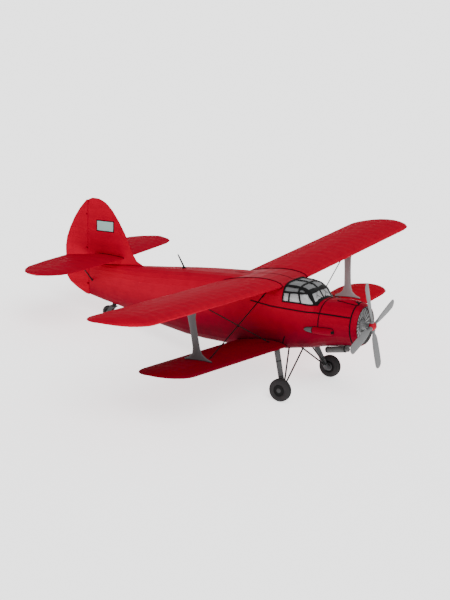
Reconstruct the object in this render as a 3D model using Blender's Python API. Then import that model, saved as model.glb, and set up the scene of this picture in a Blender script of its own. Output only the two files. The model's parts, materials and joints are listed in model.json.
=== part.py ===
"""Utility biplane with a radial engine, a cabin and a tail wheel.

Metres, +Z up.  The aeroplane is drawn level in its own datum frame: +X is its port side, +Y runs aft
from the propeller, +Z is up.  One empty turns that frame tail-down until all three wheels stand on the
ground, so the model's origin is on the ground under the middle of its bounding box.
"""
import math

import bmesh
import bpy
from mathutils import Matrix, Vector, geometry

# Whole aeroplane
SEAT_GAP = 0.0003            # two pieces that touch
RUN_GAP = 0.012              # a wing surface and its bay
TAIL_GAP = 0.006             # rudder or elevator and the bay its nose turns in
PIN_GAP = 0.0004             # a pin in its bore
WALL = 0.05                  # fuselage side with its frames
SKIN = 0.03                  # canopy frame
PANE = 0.008                 # canopy glass
SHARP_ANGLE = math.radians(35.0)

# Main wheels and tail wheel, in the datum frame
MAIN_WHEEL = Vector((1.70, 2.96, -2.08))
MAIN_TYRE_RADIUS, MAIN_TYRE_WIDTH = 0.385, 0.26
TAIL_WHEEL = Vector((0.0, 10.97, -0.85))
TAIL_TYRE_RADIUS, TAIL_TYRE_WIDTH = 0.225, 0.17
TAIL_TRAIL = 0.20            # the tail wheel's centre behind its swivel
MAIN_RIM_RADIUS, TAIL_RIM_RADIUS = 0.17, 0.10
FORK_PLATE, FORK_ARM = 0.035, 0.025
AXLE_RADIUS, TAIL_AXLE_RADIUS, AXLE_GAP = 0.035, 0.022, 0.0007
# Main leg from the axle to the lower wing root, and its two braces' upper ends
LEG_KNEE, LEG_TOP = Vector((1.47, 3.00, -2.05)), Vector((1.15, 3.42, -0.865))
LEG_LOW_RADIUS, LEG_HIGH_RADIUS = 0.085, 0.098
BRACE_ENDS, BRACE_RADIUS = (Vector((0.10, 3.52, -0.90)), Vector((0.10, 2.92, -0.85))), 0.027

# Engine and propeller
HUB_Z = 0.02
PROP_Y, PROP_RADIUS, BLADE_CHORD = 0.50, 1.60, 0.34
SPINNER_RADIUS, SOCKET_RADIUS, SOCKET_END = 0.140, 0.062, 0.185
BLADE_COUNT, BLADE_START = 4, 18.5
FIREWALL_Y, GEAR_FRONT = 2.05, 0.722
SHUTTER_RADIUS, GEARCASE_RADIUS, ENGINE_RADIUS = 0.575, 0.20, 0.61
ENGINE_FRONT = 1.00
SLAT_COUNT, SLAT_DEPTH, SLAT_LOW, SLAT_HIGH = 20, 0.022, 0.24, 0.53
SHUTTER_FRONT, SHUTTER_REAR = 0.90, 0.925
# Cowl: station and radius of its round part, then full sections where it meets the nose; the same inside
COWL_RADII = ((0.77, 0.645), (0.80, 0.672), (0.87, 0.712), (0.97, 0.742), (1.15, 0.765), (1.45, 0.787))
COWL_SECTIONS = ((1.75, 0.815, 0.775, -0.800, 2.15), (2.05, 0.850, 0.760, -0.830, 2.3))
BORE_RADII = ((0.67, 0.575), (0.76, 0.610), (0.82, 0.5753), (0.93, 0.5753), (0.935, 0.690), (1.15, 0.715),
              (1.45, 0.735))
BORE_SECTIONS = ((1.75, 0.765, 0.725, -0.750, 2.15), (2.10, 0.800, 0.710, -0.780, 2.3))
# Intake scoop: Y, half width and top of its sections, then its middle and foot
SCOOP = ((0.90, 0.085, 0.660), (0.95, 0.115, 0.790), (1.05, 0.130, 0.838), (1.35, 0.130, 0.848),
         (1.58, 0.095, 0.810), (1.76, 0.040, 0.745))
SCOOP_X, SCOOP_FOOT = -0.16, 0.60
# Side duct: height, then station, middle and radius
SIDE_DUCT_Z = -0.15
SIDE_DUCT = ((1.52, -0.80, 0.060), (1.56, -0.80, 0.110), (1.75, -0.82, 0.120), (2.22, -0.845, 0.120),
             (2.26, -0.85, 0.095), (2.45, -0.855, 0.075), (2.54, -0.86, 0.040))
EXHAUST = (Vector((-0.40, 1.15, -0.75)), Vector((-0.40, 1.97, -0.88)))
EXHAUST_RADIUS, EXHAUST_WALL, EXHAUST_DEPTH = 0.088, 0.014, 0.16
EXHAUST_ELBOW, ELBOW_RADIUS = (Vector((-0.40, 1.27, -0.769)), Vector((-0.34, 1.13, -0.57))), 0.080

# Fuselage stations: Y, half width, top Z, keel Z, squareness of the section
BODY_STATIONS = (
    (2.05, 0.850, 0.760, -0.83, 2.3), (2.18, 0.858, 0.735, -0.85, 2.5), (2.28, 0.864, 0.735, -0.87, 2.7),
    (2.50, 0.874, 1.055, -0.90, 3.5), (2.70, 0.884, 1.185, -0.93, 3.7), (3.00, 0.892, 1.240, -0.97, 4.0),
    (3.38, 0.900, 1.250, -1.03, 4.3), (4.60, 0.900, 1.250, -1.13, 4.4),
    (5.60, 0.895, 1.230, -1.17, 4.3), (6.60, 0.860, 1.185, -1.15, 4.0), (7.40, 0.790, 1.140, -1.11, 3.6),
    (8.50, 0.640, 1.050, -0.97, 3.0), (9.50, 0.480, 0.970, -0.76, 2.6), (10.40, 0.320, 0.930, -0.57, 2.3),
    (11.10, 0.200, 0.910, -0.45, 2.1), (11.72, 0.095, 0.900, -0.32, 2.0),
)
BODY_POINTS = 24
NOSE_END, CABIN_END, TAIL_END = 3.38, 7.40, 11.72
SILL_Z, SILL_FRONT_Z, SILL_BEND_Y, SCREEN_Y = 0.66, 0.60, 2.70, 2.22
# Pane outlines: sides in Y and Z from below the belt to above it, roof in X and Y, windscreen in X and Z
SIDE_PANES = (((3.165, 0.69), (3.35, 0.69), (3.35, 0.95), (3.165, 0.955)),
              ((2.735, 0.69), (3.125, 0.69), (3.125, 0.955), (2.84, 0.965)),
              ((2.33, 0.65), (2.695, 0.69), (2.80, 0.965), (2.55, 0.965)),
              ((2.865, 1.01), (3.348, 1.00), (3.348, 1.15), (2.88, 1.125)),
              ((2.63, 1.015), (2.825, 1.01), (2.82, 1.09), (2.73, 1.09)))
ROOF_PANES = (((0.025, 2.875), (0.565, 2.875), (0.60, 3.345), (0.025, 3.345)),
              ((0.025, 2.535), (0.515, 2.60), (0.55, 2.835), (0.025, 2.835)))
SCREEN_PANE = ((0.025, 0.775), (0.30, 0.765), (0.545, 0.69), (0.505, 0.955), (0.025, 0.985))
FLOOR_Z, FLOOR_THICK, CARGO_SINK = -0.72, 0.03, 0.012
BULKHEAD_Y, REAR_BULKHEAD_Y, BULKHEAD_THICK = 3.42, 7.30, 0.04
SEAT_X, SEAT_Y, SEAT_HALF, COLUMN_HEIGHT = 0.42, 3.14, 0.22, 0.62
SEAT_OUTLINE = ((-0.22, 0.0), (0.16, 0.0), (0.16, 0.32), (0.22, 0.98), (0.13, 0.98), (0.07, 0.46),
                (-0.28, 0.48), (-0.28, 0.36), (-0.22, 0.32))
YOKE = ((-0.14, 0.09), (-0.11, 0.09), (-0.10, 0.0), (0.10, 0.0), (0.11, 0.09), (0.14, 0.09), (0.12, -0.035),
        (-0.12, -0.035))

# Cabin door in the port side
DOOR_FRONT, DOOR_REAR, DOOR_LOW, DOOR_HIGH = 5.76, 6.76, -0.62, 0.80
DOOR_GAP, HINGE_TUBE = 0.008, 0.013

# Wings: root leading edge, chord, span beyond the root, dihedral, incidence, thickness, camber
WINGS = {
    "upper": dict(root=(0.82, 3.40, 1.150), chord=2.28, span=8.30, round=0.85, dihedral=2.9,
                  incidence=1.6, thickness=0.125, camber=0.030),
    "lower": dict(root=(0.79, 3.27, -0.865), chord=1.88, span=6.38, round=0.85, dihedral=3.6,
                  incidence=0.8, thickness=0.125, camber=0.028),
}
TIP_STEPS, TIP_LEAD_SHARE, ROOT_DEPTH = 6, 0.62, 0.12
HINGE_SHARE = 0.745          # hinge line of flaps and ailerons along the chord
SURFACES = {                 # span stations from the wing's root
    "upper_flap": ("upper", 0.30, 4.20),
    "aileron": ("upper", 4.42, 7.38),
    "lower_flap": ("lower", 0.30, 5.45),
}
SURFACE_PIN_RADIUS = 0.018
BEHIND = 0.3                 # how far a cutter runs on behind a trailing edge

# Interplane strut: foot on the lower wing, head under the upper wing
STRUT_FOOT, STRUT_HEAD = Vector((4.95, 4.03, -0.55)), Vector((5.22, 4.20, 1.45))
# Share of the way up, half chord and half thickness
STRUT_ROWS = ((-0.02, 0.52, 0.060), (0.06, 0.50, 0.050), (0.095, 0.33, 0.042), (0.15, 0.19, 0.038),
              (0.24, 0.140, 0.036), (0.50, 0.130, 0.036), (0.74, 0.140, 0.036), (0.84, 0.20, 0.038),
              (0.90, 0.32, 0.042), (1.0, 0.42, 0.050))
FLYING_STAY = ((0.87, 3.68, -0.86), (4.85, 4.03, 1.30))
LANDING_STAY = ((0.66, 3.96, 1.02), (4.80, 3.86, -0.58))
STAY_RADIUS, SPACER_RADIUS = 0.018, 0.026

# Tail surfaces
RUDDER_HINGE_Y, ELEVATOR_HINGE_Y, TAILPLANE_Z = 11.80, 11.42, 1.17
# Fin and rudder outline: Z, leading edge Y, trailing edge Y, half thickness at the hinge
FIN_STATIONS = (
    (0.78, 9.30, 12.78, 0.078), (0.96, 9.44, 12.785, 0.078), (1.11, 9.73, 12.79, 0.078),
    (1.36, 9.92, 12.79, 0.076), (1.70, 10.07, 12.72, 0.073), (2.05, 10.23, 12.58, 0.070),
    (2.46, 10.48, 12.36, 0.063), (2.80, 10.73, 12.12, 0.056), (2.97, 10.90, 11.965, 0.050),
    (3.06, 11.02, 11.88, 0.044),
)
# Above the top hinge: the fin's Z, leading edge Y, rear Y and half thickness; the rudder's Z, rear Y and half
FIN_HEAD = ((3.13, 11.15, 11.73, 0.040), (3.185, 11.31, 11.60, 0.032))
RUDDER_HEAD = ((3.10, 11.845, 0.034),)
# Height of each rudder hinge lug and what carries it
RUDDER_LUGS = ((0.10, "cone"), (1.40, "fin"), (2.60, "fin"))
LUG_HALF, LUG_THICK, RUDDER_PIN_RADIUS = 0.03, 0.03, 0.012
RUDDER_LOW = ((-0.30, 11.95, 0.074), (-0.12, 12.32, 0.076), (0.07, 12.62, 0.078), (0.26, 12.76, 0.078))
# Tailplane outline: X, leading edge Y, half thickness at the hinge
TAILPLANE_STATIONS = ((0.02, 10.26, 0.070), (1.50, 10.32, 0.068), (2.88, 10.40, 0.060), (3.30, 10.53, 0.052),
                      (3.58, 10.78, 0.044), (3.73, 11.08, 0.034))
# Elevator outline: X, trailing edge Y, half thickness at the hinge
ELEVATOR_STATIONS = ((0.20, 11.82, 0.068), (0.52, 12.33, 0.068), (1.80, 12.36, 0.066), (2.80, 12.30, 0.060),
                     (3.21, 12.14, 0.053), (3.54, 11.90, 0.044), (3.71, 11.66, 0.034))

# Finishes: colour, metallic, roughness
RED = ("red paint", (0.62, 0.010, 0.020), 0.0, 0.32)
RED_DOPE = ("red doped fabric", (0.62, 0.010, 0.020), 0.0, 0.42)
STRUT_GREY = ("strut grey paint", (0.18, 0.18, 0.18), 0.0, 0.45)
BLADE_GREY = ("blade grey paint", (0.42, 0.42, 0.43), 0.2, 0.40)
ENGINE_GREY = ("engine iron", (0.10, 0.10, 0.11), 0.8, 0.50)
BLACK_FRAME = ("black frame paint", (0.012, 0.012, 0.012), 0.0, 0.40)
GLASS = ("canopy glass", (0.55, 0.57, 0.58), 0.0, 0.05)
TYRE = ("tyre rubber", (0.035, 0.033, 0.033), 0.0, 0.80)
CABIN_GREY = ("cabin grey paint", (0.30, 0.31, 0.31), 0.0, 0.60)
SEAT_CLOTH = ("seat cloth", (0.10, 0.10, 0.11), 0.0, 0.85)


def clear_scene():
    """Take every object out of the open file."""
    for found in list(bpy.data.objects):
        bpy.data.objects.remove(found, do_unlink=True)


def finish_material(finish):
    """A principled material for one finish."""
    name, colour, metallic, roughness = finish
    made = bpy.data.materials.get(name)
    if made is None:
        made = bpy.data.materials.new(name)
        made.use_nodes = True
        shader = made.node_tree.nodes["Principled BSDF"]
        shader.inputs["Base Color"].default_value = (*colour, 1.0)
        shader.inputs["Metallic"].default_value = metallic
        shader.inputs["Roughness"].default_value = roughness
    return made


def place_empty(name, location, rotation=(0.0, 0.0, 0.0), parent=None):
    """An empty that carries pieces."""
    empty = bpy.data.objects.new(name, None)
    empty.location = location
    empty.rotation_euler = rotation
    empty.parent = parent
    bpy.context.scene.collection.objects.link(empty)
    return empty


def place_mesh(name, bm, parent, finish=None):
    """Turn a bmesh into an object with its finish; without one it is a hidden cutter."""
    bmesh.ops.recalc_face_normals(bm, faces=bm.faces)
    mesh = bpy.data.meshes.new(name)
    bm.to_mesh(mesh)
    bm.free()
    mesh.shade_smooth()
    mesh.set_sharp_from_angle(angle=SHARP_ANGLE)
    placed = bpy.data.objects.new(name, mesh)
    placed.parent = parent
    bpy.context.scene.collection.objects.link(placed)
    if finish is None:
        placed.hide_render = True
        placed.display_type = "WIRE"
    else:
        mesh.materials.append(finish_material(finish))
    return placed


def combine(target, cutters, operation="DIFFERENCE"):
    """Add one Boolean for each cutter."""
    for cutter in cutters:
        step = target.modifiers.new(operation.title(), "BOOLEAN")
        step.operation = operation
        step.solver = "EXACT"
        step.object = cutter
        cutter.hide_render = True
        cutter.display_type = "WIRE"
    return target


def loft(rings, split=False):
    """A closed solid through rings with the same number of points; split cuts its bent quads one way."""
    bm = bmesh.new()
    face = bm.faces.new([bm.verts.new(point) for point in rings[0]])
    for ring_now, ring_next in zip(rings, rings[1:]):
        moves = {tuple(Vector(point)): Vector(target) for point, target in zip(ring_now, ring_next)}
        step = bmesh.ops.extrude_face_region(bm, geom=[face])
        if ring_now is not rings[0]:
            bmesh.ops.delete(bm, geom=[face], context="FACES_ONLY")
        face = next(item for item in step["geom"] if isinstance(item, bmesh.types.BMFace))
        for vert in face.verts:
            vert.co = moves[tuple(vert.co)]
    if split:
        bent = [side for side in bm.faces if len(side.verts) == 4]
        bmesh.ops.triangulate(bm, faces=bent, quad_method="FIXED")
    return bm


def prism(outline, low, high, axis="X"):
    """Extrude an outline along an axis; the outline lists the other two coordinates in order."""
    def point(pair, level):
        first, second = pair
        return {"X": (level, first, second), "Y": (first, level, second), "Z": (first, second, level)}[axis]
    return loft([[point(pair, low) for pair in outline], [point(pair, high) for pair in outline]])


def box(low, high):
    """An upright box between two corners."""
    bm = bmesh.new()
    size = Vector(high) - Vector(low)
    centre = (Vector(high) + Vector(low)) / 2
    bmesh.ops.create_cube(bm, size=1.0, matrix=Matrix.Translation(centre) @ Matrix.Diagonal((*size, 1.0)))
    return bm


def rod(start, end, radius, end_radius=None, sides=12):
    """A round bar or cone between two points."""
    start, end = Vector(start), Vector(end)
    run = end - start
    turn = run.to_track_quat("Z", "Y").to_matrix().to_4x4()
    bm = bmesh.new()
    bmesh.ops.create_cone(bm, cap_ends=True, segments=sides, radius1=radius,
                          radius2=radius if end_radius is None else end_radius, depth=run.length,
                          matrix=Matrix.Translation((start + end) / 2) @ turn)
    return bm


def turned(profile, axis, sides=32, centre=(0.0, 0.0, 0.0)):
    """Spin a closed profile of (along, radius) pairs about an axis through the centre."""
    bm = bmesh.new()
    along = Vector((1.0, 0.0, 0.0)) if axis == "X" else Vector((0.0, 1.0, 0.0))
    out = Vector((0.0, 0.0, 1.0))
    verts = [bm.verts.new(Vector(centre) + along * step + out * radius) for step, radius in profile]
    pairs = zip(verts, verts[1:] + verts[:1], profile, profile[1:] + profile[:1])
    ring = [bm.edges.new((one, two)) for one, two, here, there in pairs if here[1] > 0 or there[1] > 0]
    bmesh.ops.spin(bm, geom=verts + ring, cent=centre, axis=along, angle=math.tau, steps=sides,
                   use_merge=True)
    bmesh.ops.remove_doubles(bm, verts=bm.verts, dist=0.00002)
    bmesh.ops.dissolve_degenerate(bm, edges=bm.edges, dist=0.00002)
    return bm


def blend(stations, at):
    """The values of a station table at one place, read along straight lines."""
    for here, there in zip(stations, stations[1:]):
        if at <= there[0]:
            break
    share = max(0.0, (at - here[0]) / (there[0] - here[0]))
    return [a + (b - a) * share for a, b in zip(here, there)]


def body_ring(station, inset=0.0):
    """One fuselage section: a squared ellipse, drawn in by the inset."""
    y, width, top, keel, square = station
    middle, half = (top + keel) / 2, (top - keel) / 2 - inset
    width -= inset
    ring = []
    for step in range(BODY_POINTS):
        turn = math.tau * (step + 0.5) / BODY_POINTS
        side, lift = math.cos(turn), math.sin(turn)
        ring.append((width * math.copysign(abs(side) ** (2 / square), side), y,
                     middle + half * math.copysign(abs(lift) ** (2 / square), lift)))
    return ring


def body_loft(start, end, inset=0.0):
    """The fuselage's outer or inner form between two stations."""
    inner = [station for station in BODY_STATIONS if start < station[0] < end]
    stations = [blend(BODY_STATIONS, start), *inner, blend(BODY_STATIONS, end)]
    stations[0][0], stations[-1][0] = start, end
    return loft([body_ring(station, inset) for station in stations], split=True)


def aerofoil(chord, thickness, camber, grow=0.0, count=9):
    """A closed wing section as (y, z) pairs, from the trailing edge over the top and back below."""
    def half(share):
        root = 0.2969 * math.sqrt(share) - 0.126 * share - 0.3516 * share ** 2
        return 5 * thickness * (root + 0.2843 * share ** 3 - 0.1015 * share ** 4) + 0.0012
    shares = [(1 - math.cos(math.pi * step / count)) / 2 for step in range(count + 1)]
    top = [(share, camber * 4 * share * (1 - share) + half(share)) for share in reversed(shares[1:])]
    under = [(share, camber * 4 * share * (1 - share) - half(share)) for share in shares[1:]]
    nose = [(0.0, 0.0)]
    section = []
    for share, height in top + nose + under:
        lift = math.copysign(grow, height) if share else 0.0
        section.append((share * chord + grow * (2 * share - 1), height * chord + lift))
    return section


def hinge_line(wing):
    """The height and half thickness of a wing section at the hinge, in the wing's frame."""
    share, chord = HINGE_SHARE, wing["chord"]
    section = aerofoil(chord, wing["thickness"], wing["camber"], count=40)
    place = share * chord
    top = min(section[:40], key=lambda point: abs(point[0] - place))[1]
    under = min(section[41:], key=lambda point: abs(point[0] - place))[1]
    return place, (top + under) / 2, (top - under) / 2


def wing_loft(wing, side, grow=0.0):
    """The whole wing panel in its own frame, from inside its root to its rounded tip."""
    chord, span, rounding = wing["chord"], wing["span"], wing["round"]
    rings = []
    for x, lead, trail in tip_outline(span, rounding, chord):
        scale = (chord - lead - trail) / chord
        thickness = wing["thickness"] * (0.35 + 0.65 * math.sqrt(scale))
        ring = aerofoil(chord * scale, thickness, wing["camber"], grow)
        rings.append([(side * x, lead + y, z) for y, z in ring])
    return loft(rings)


def tip_outline(span, rounding, chord):
    """Span stations with how far the leading and trailing edges draw in at each."""
    rows = [(-ROOT_DEPTH, 0.0, 0.0), (span - rounding, 0.0, 0.0)]
    for step in range(1, TIP_STEPS + 1):
        turn = math.pi / 2 * step / (TIP_STEPS + 0.5)
        x, drawn = span - rounding * (1 - math.sin(turn)), 0.9 * chord * (1 - math.cos(turn))
        rows.append((x, TIP_LEAD_SHARE * drawn, (1 - TIP_LEAD_SHARE) * drawn))
    return rows


def surface_block(wing, side, inner, outer, radius):
    """What is cut from the wing, or kept of it, for a surface: a round nose on the hinge, open aft."""
    hinge_y, hinge_z, _ = hinge_line(wing)
    turns = [math.pi * step / 10 for step in range(11)]
    arc = [(hinge_y - radius * math.sin(turn), hinge_z + radius * math.cos(turn)) for turn in turns]
    end = wing["chord"] + BEHIND
    outline = arc + [(end, hinge_z - radius), (end, hinge_z + radius)]
    return prism(outline, min(side * inner, side * outer), max(side * inner, side * outer))


def build_airframe():
    """The empty that stands the level datum frame on its three wheels, tail down."""
    run = TAIL_WHEEL.y - MAIN_WHEEL.y
    rise = TAIL_WHEEL.z - MAIN_WHEEL.z
    smaller = MAIN_TYRE_RADIUS - TAIL_TYRE_RADIUS
    angle = math.atan2(rise, run) + math.asin(smaller / math.hypot(run, rise))
    return place_empty("airframe", (0.0, 0.0, 0.0), (-angle, 0.0, 0.0)), angle


def build_fuselage(frame):
    """Nose, cabin and tail cone with floor and bulkheads; gives back the outer form and the rudder bay."""
    envelope = place_mesh("fuselage form", body_loft(2.0, TAIL_END + 0.05, -SEAT_GAP), frame)
    low, high = FIREWALL_Y + WALL, TAIL_END - 0.35
    inner = place_mesh("fuselage inside", body_loft(low, high, WALL), frame)
    fit = place_mesh("cabin lining form", body_loft(low, high, WALL + SEAT_GAP), frame)
    zone = [(SCREEN_Y, SILL_FRONT_Z), (SILL_BEND_Y, SILL_Z), (3.6, SILL_Z), (3.6, 1.8), (SCREEN_Y, 1.8)]
    upper = place_mesh("canopy zone", prism(zone, -1.2, 1.2), frame)

    nose = place_mesh("nose_section", body_loft(FIREWALL_Y, NOSE_END), frame, RED)
    combine(nose, [inner, upper])

    cabin = place_mesh("cabin_section", body_loft(NOSE_END + SEAT_GAP, CABIN_END), frame, RED)
    section = WINGS["upper"]
    reach, lead, height = section["root"]
    outline = turned_outline(section, lead, height)
    centre = place_mesh("wing centre form", prism(outline, -reach + SEAT_GAP, reach - SEAT_GAP), frame)
    opening = place_mesh("door opening", box((0.6, DOOR_FRONT, DOOR_LOW), (1.1, DOOR_REAR, DOOR_HIGH)), frame)
    hinge_x = door_hinge_x()
    low, high = (hinge_x, DOOR_FRONT, DOOR_LOW), (hinge_x, DOOR_FRONT, DOOR_HIGH)
    groove = rod(low, high, HINGE_TUBE + DOOR_GAP, sides=16)
    relief = place_mesh("door hinge relief", groove, frame)
    combine(cabin, [centre], "UNION")
    combine(cabin, [inner, opening, relief])

    cone = place_mesh("tail_cone", body_loft(CABIN_END + SEAT_GAP, TAIL_END), frame, RED)
    bay = place_mesh("rudder bay", rod((0.0, RUDDER_HINGE_Y, -0.8), (0.0, RUDDER_HINGE_Y, 3.6),
                                       FIN_STATIONS[0][3] + TAIL_GAP, sides=24), frame)
    combine(cone, [inner, bay])
    add_lugs(frame, cone, "cone")

    top = FLOOR_Z + FLOOR_THICK
    panel = box((-1.0, FIREWALL_Y + WALL + SEAT_GAP, FLOOR_Z), (1.0, REAR_BULKHEAD_Y - SEAT_GAP, top))
    floor = place_mesh("cabin_floor", panel, frame, CABIN_GREY)
    front = BULKHEAD_Y + BULKHEAD_THICK + 0.01
    sunk = box((-1.0, front, top - CARGO_SINK), (1.0, REAR_BULKHEAD_Y + 0.1, top + 0.1))
    combine(floor, [fit], "INTERSECT")
    combine(floor, [place_mesh("cargo floor step", sunk, frame)])

    panel = box((-1.0, BULKHEAD_Y, top + SEAT_GAP), (1.0, BULKHEAD_Y + BULKHEAD_THICK, 1.5))
    front = place_mesh("cockpit_bulkhead", panel, frame, CABIN_GREY)
    doorway = place_mesh("doorway", box((-0.28, 3.3, -1.0), (0.28, 3.6, 0.92)), frame)
    combine(front, [fit], "INTERSECT")
    combine(front, [doorway])
    panel = box((-1.0, REAR_BULKHEAD_Y, -1.5), (1.0, REAR_BULKHEAD_Y + BULKHEAD_THICK, 1.5))
    rear = place_mesh("rear_bulkhead", panel, frame, CABIN_GREY)
    combine(rear, [fit], "INTERSECT")
    return envelope, bay


def add_lugs(frame, carrier, owner):
    """Weld one owner's rudder hinge lugs to it, each bored for its pin."""
    turns = [math.pi * step / 8 for step in range(9)]
    arc = [(LUG_HALF * math.cos(turn), RUDDER_HINGE_Y + LUG_HALF * math.sin(turn)) for turn in turns]
    outline = [(-LUG_HALF, RUDDER_HINGE_Y - 0.2), (LUG_HALF, RUDDER_HINGE_Y - 0.2), *arc]
    lugs, bores = [], []
    for height, carried_by in RUDDER_LUGS:
        if carried_by == owner:
            low, high = height - LUG_THICK / 2, height + LUG_THICK / 2
            lugs.append(place_mesh("hinge lug", prism(outline, low, high, "Z"), frame))
            bore = rod((0.0, RUDDER_HINGE_Y, low - 0.01), (0.0, RUDDER_HINGE_Y, high + 0.01),
                       RUDDER_PIN_RADIUS + PIN_GAP, sides=24)
            bores.append(place_mesh("lug bore", bore, frame))
    combine(carrier, lugs, "UNION")
    combine(carrier, bores)


def turned_outline(wing, lead, height):
    """A wing's section set at its incidence with its leading edge in place."""
    turn = -math.radians(wing["incidence"])
    section = aerofoil(wing["chord"], wing["thickness"], wing["camber"])
    return [(lead + y * math.cos(turn) - z * math.sin(turn), height + y * math.sin(turn) + z * math.cos(turn))
            for y, z in section]


def door_hinge_x():
    """The outer face of the fuselage side at the door's front edge."""
    return blend(BODY_STATIONS, DOOR_FRONT)[1]


def build_door(frame):
    """The port cabin door on a full-height hinge tube along its front edge."""
    hinge_x = door_hinge_x()
    pivot = place_empty("cabin door hinge", (hinge_x, DOOR_FRONT, 0.0), parent=frame)
    low, high = DOOR_LOW + DOOR_GAP, DOOR_HIGH - DOOR_GAP
    back = Matrix.Translation((-hinge_x, -DOOR_FRONT, 0.0))
    shell = body_loft(DOOR_FRONT + 0.0005, DOOR_REAR - DOOR_GAP)
    bmesh.ops.transform(shell, matrix=back, verts=shell.verts)
    inside = body_loft(DOOR_FRONT - 0.5, DOOR_REAR + 0.5, WALL)
    bmesh.ops.transform(inside, matrix=back, verts=inside.verts)
    door = place_mesh("cabin_door", shell, pivot, RED)
    hollow = place_mesh("door inside", inside, pivot)
    keep = place_mesh("door panel zone", box((-0.3, -0.1, low), (0.2, 1.2, high)), pivot)
    window = place_mesh("door window", rod((-0.3, 0.5, 0.42), (0.3, 0.5, 0.42), 0.16, sides=20), pivot)
    barrel = rod((0.0, 0.0, DOOR_LOW + SEAT_GAP), (0.0, 0.0, DOOR_HIGH - SEAT_GAP), HINGE_TUBE)
    tube = place_mesh("door hinge tube", barrel, pivot)
    combine(door, [keep], "INTERSECT")
    combine(door, [hollow])
    combine(door, [tube], "UNION")
    combine(door, [window])


def build_canopy(frame):
    """Canopy frame with its panes cut out, and the thin glazing that lines it."""
    front, sill = SCREEN_Y + SEAT_GAP, SILL_Z + SEAT_GAP
    zone = [(front, SILL_FRONT_Z + SEAT_GAP), (SILL_BEND_Y, sill), (NOSE_END, sill), (NOSE_END, 1.8),
            (front, 1.8)]
    keep = place_mesh("canopy form", prism(zone, -1.2, 1.2), frame)
    shell = place_mesh("canopy_frame", body_loft(2.1, NOSE_END), frame, BLACK_FRAME)
    hollow = place_mesh("canopy inside", body_loft(2.15, 3.6, SKIN), frame)
    panes = []
    for side in (1, -1):
        low, high = sorted((side * 0.55, side * 1.2))
        for outline in SIDE_PANES:
            panes.append(place_mesh("side pane", prism(outline, low, high), frame))
        for outline in ROOF_PANES:
            mirrored = [(side * x, y) for x, y in outline]
            panes.append(place_mesh("roof pane", prism(mirrored, 0.85, 1.6, "Z"), frame))
        mirrored = [(side * x, z) for x, z in SCREEN_PANE]
        panes.append(place_mesh("screen pane", prism(mirrored, 2.0, 2.62, "Y"), frame))
    combine(shell, [keep], "INTERSECT")
    combine(shell, [hollow, *panes])

    glass = place_mesh("canopy_glass", body_loft(2.15, NOSE_END, SKIN + SEAT_GAP), frame, GLASS)
    within = place_mesh("glass inside", body_loft(2.1, 3.6, SKIN + SEAT_GAP + PANE), frame)
    combine(glass, [keep], "INTERSECT")
    combine(glass, [within])


def build_cockpit(frame):
    """Two seats, the instrument panel and the pair of control columns."""
    floor = FLOOR_Z + FLOOR_THICK + SEAT_GAP
    for name, side in (("pilot_seat_port", 1), ("pilot_seat_starboard", -1)):
        points = [(SEAT_Y + y, floor + z) for y, z in SEAT_OUTLINE]
        seat = prism(points, side * SEAT_X - SEAT_HALF, side * SEAT_X + SEAT_HALF)
        bmesh.ops.bevel(seat, geom=list(seat.edges), offset=0.02, segments=1, affect="EDGES", profile=0.5)
        place_mesh(name, seat, frame, SEAT_CLOTH)
    panel = [(2.33, 0.20), (2.39, 0.20), (2.43, 0.56), (2.56, 0.60), (2.56, 0.63), (2.33, 0.60)]
    board = place_mesh("instrument_panel", prism(panel, -1.0, 1.0), frame, BLACK_FRAME)
    lining = place_mesh("panel fit", body_loft(2.15, 3.0, WALL + SEAT_GAP), frame)
    combine(board, [lining], "INTERSECT")
    base = box((-0.50, 2.58, floor), (0.50, 2.66, floor + 0.05))
    columns = place_mesh("control_columns", base, frame, ENGINE_GREY)
    parts = []
    top = floor + COLUMN_HEIGHT
    for side in (1, -1):
        x = side * SEAT_X
        stick = rod((x, 2.62, floor + 0.02), (x, 2.58, top), 0.022, sides=8)
        parts.append(place_mesh("column stick", stick, frame))
        outline = [(x + across, top + up) for across, up in YOKE]
        parts.append(place_mesh("column yoke", prism(outline, 2.565, 2.595, "Y"), frame))
    combine(columns, parts, "UNION")


def cowl_stations(radii, sections):
    """Sections of the cowl or its bore: round about the hub's height, then the ones given in full."""
    return [(y, radius, radius + HUB_Z, -radius + HUB_Z, 2.0) for y, radius in radii] + list(sections)


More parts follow.
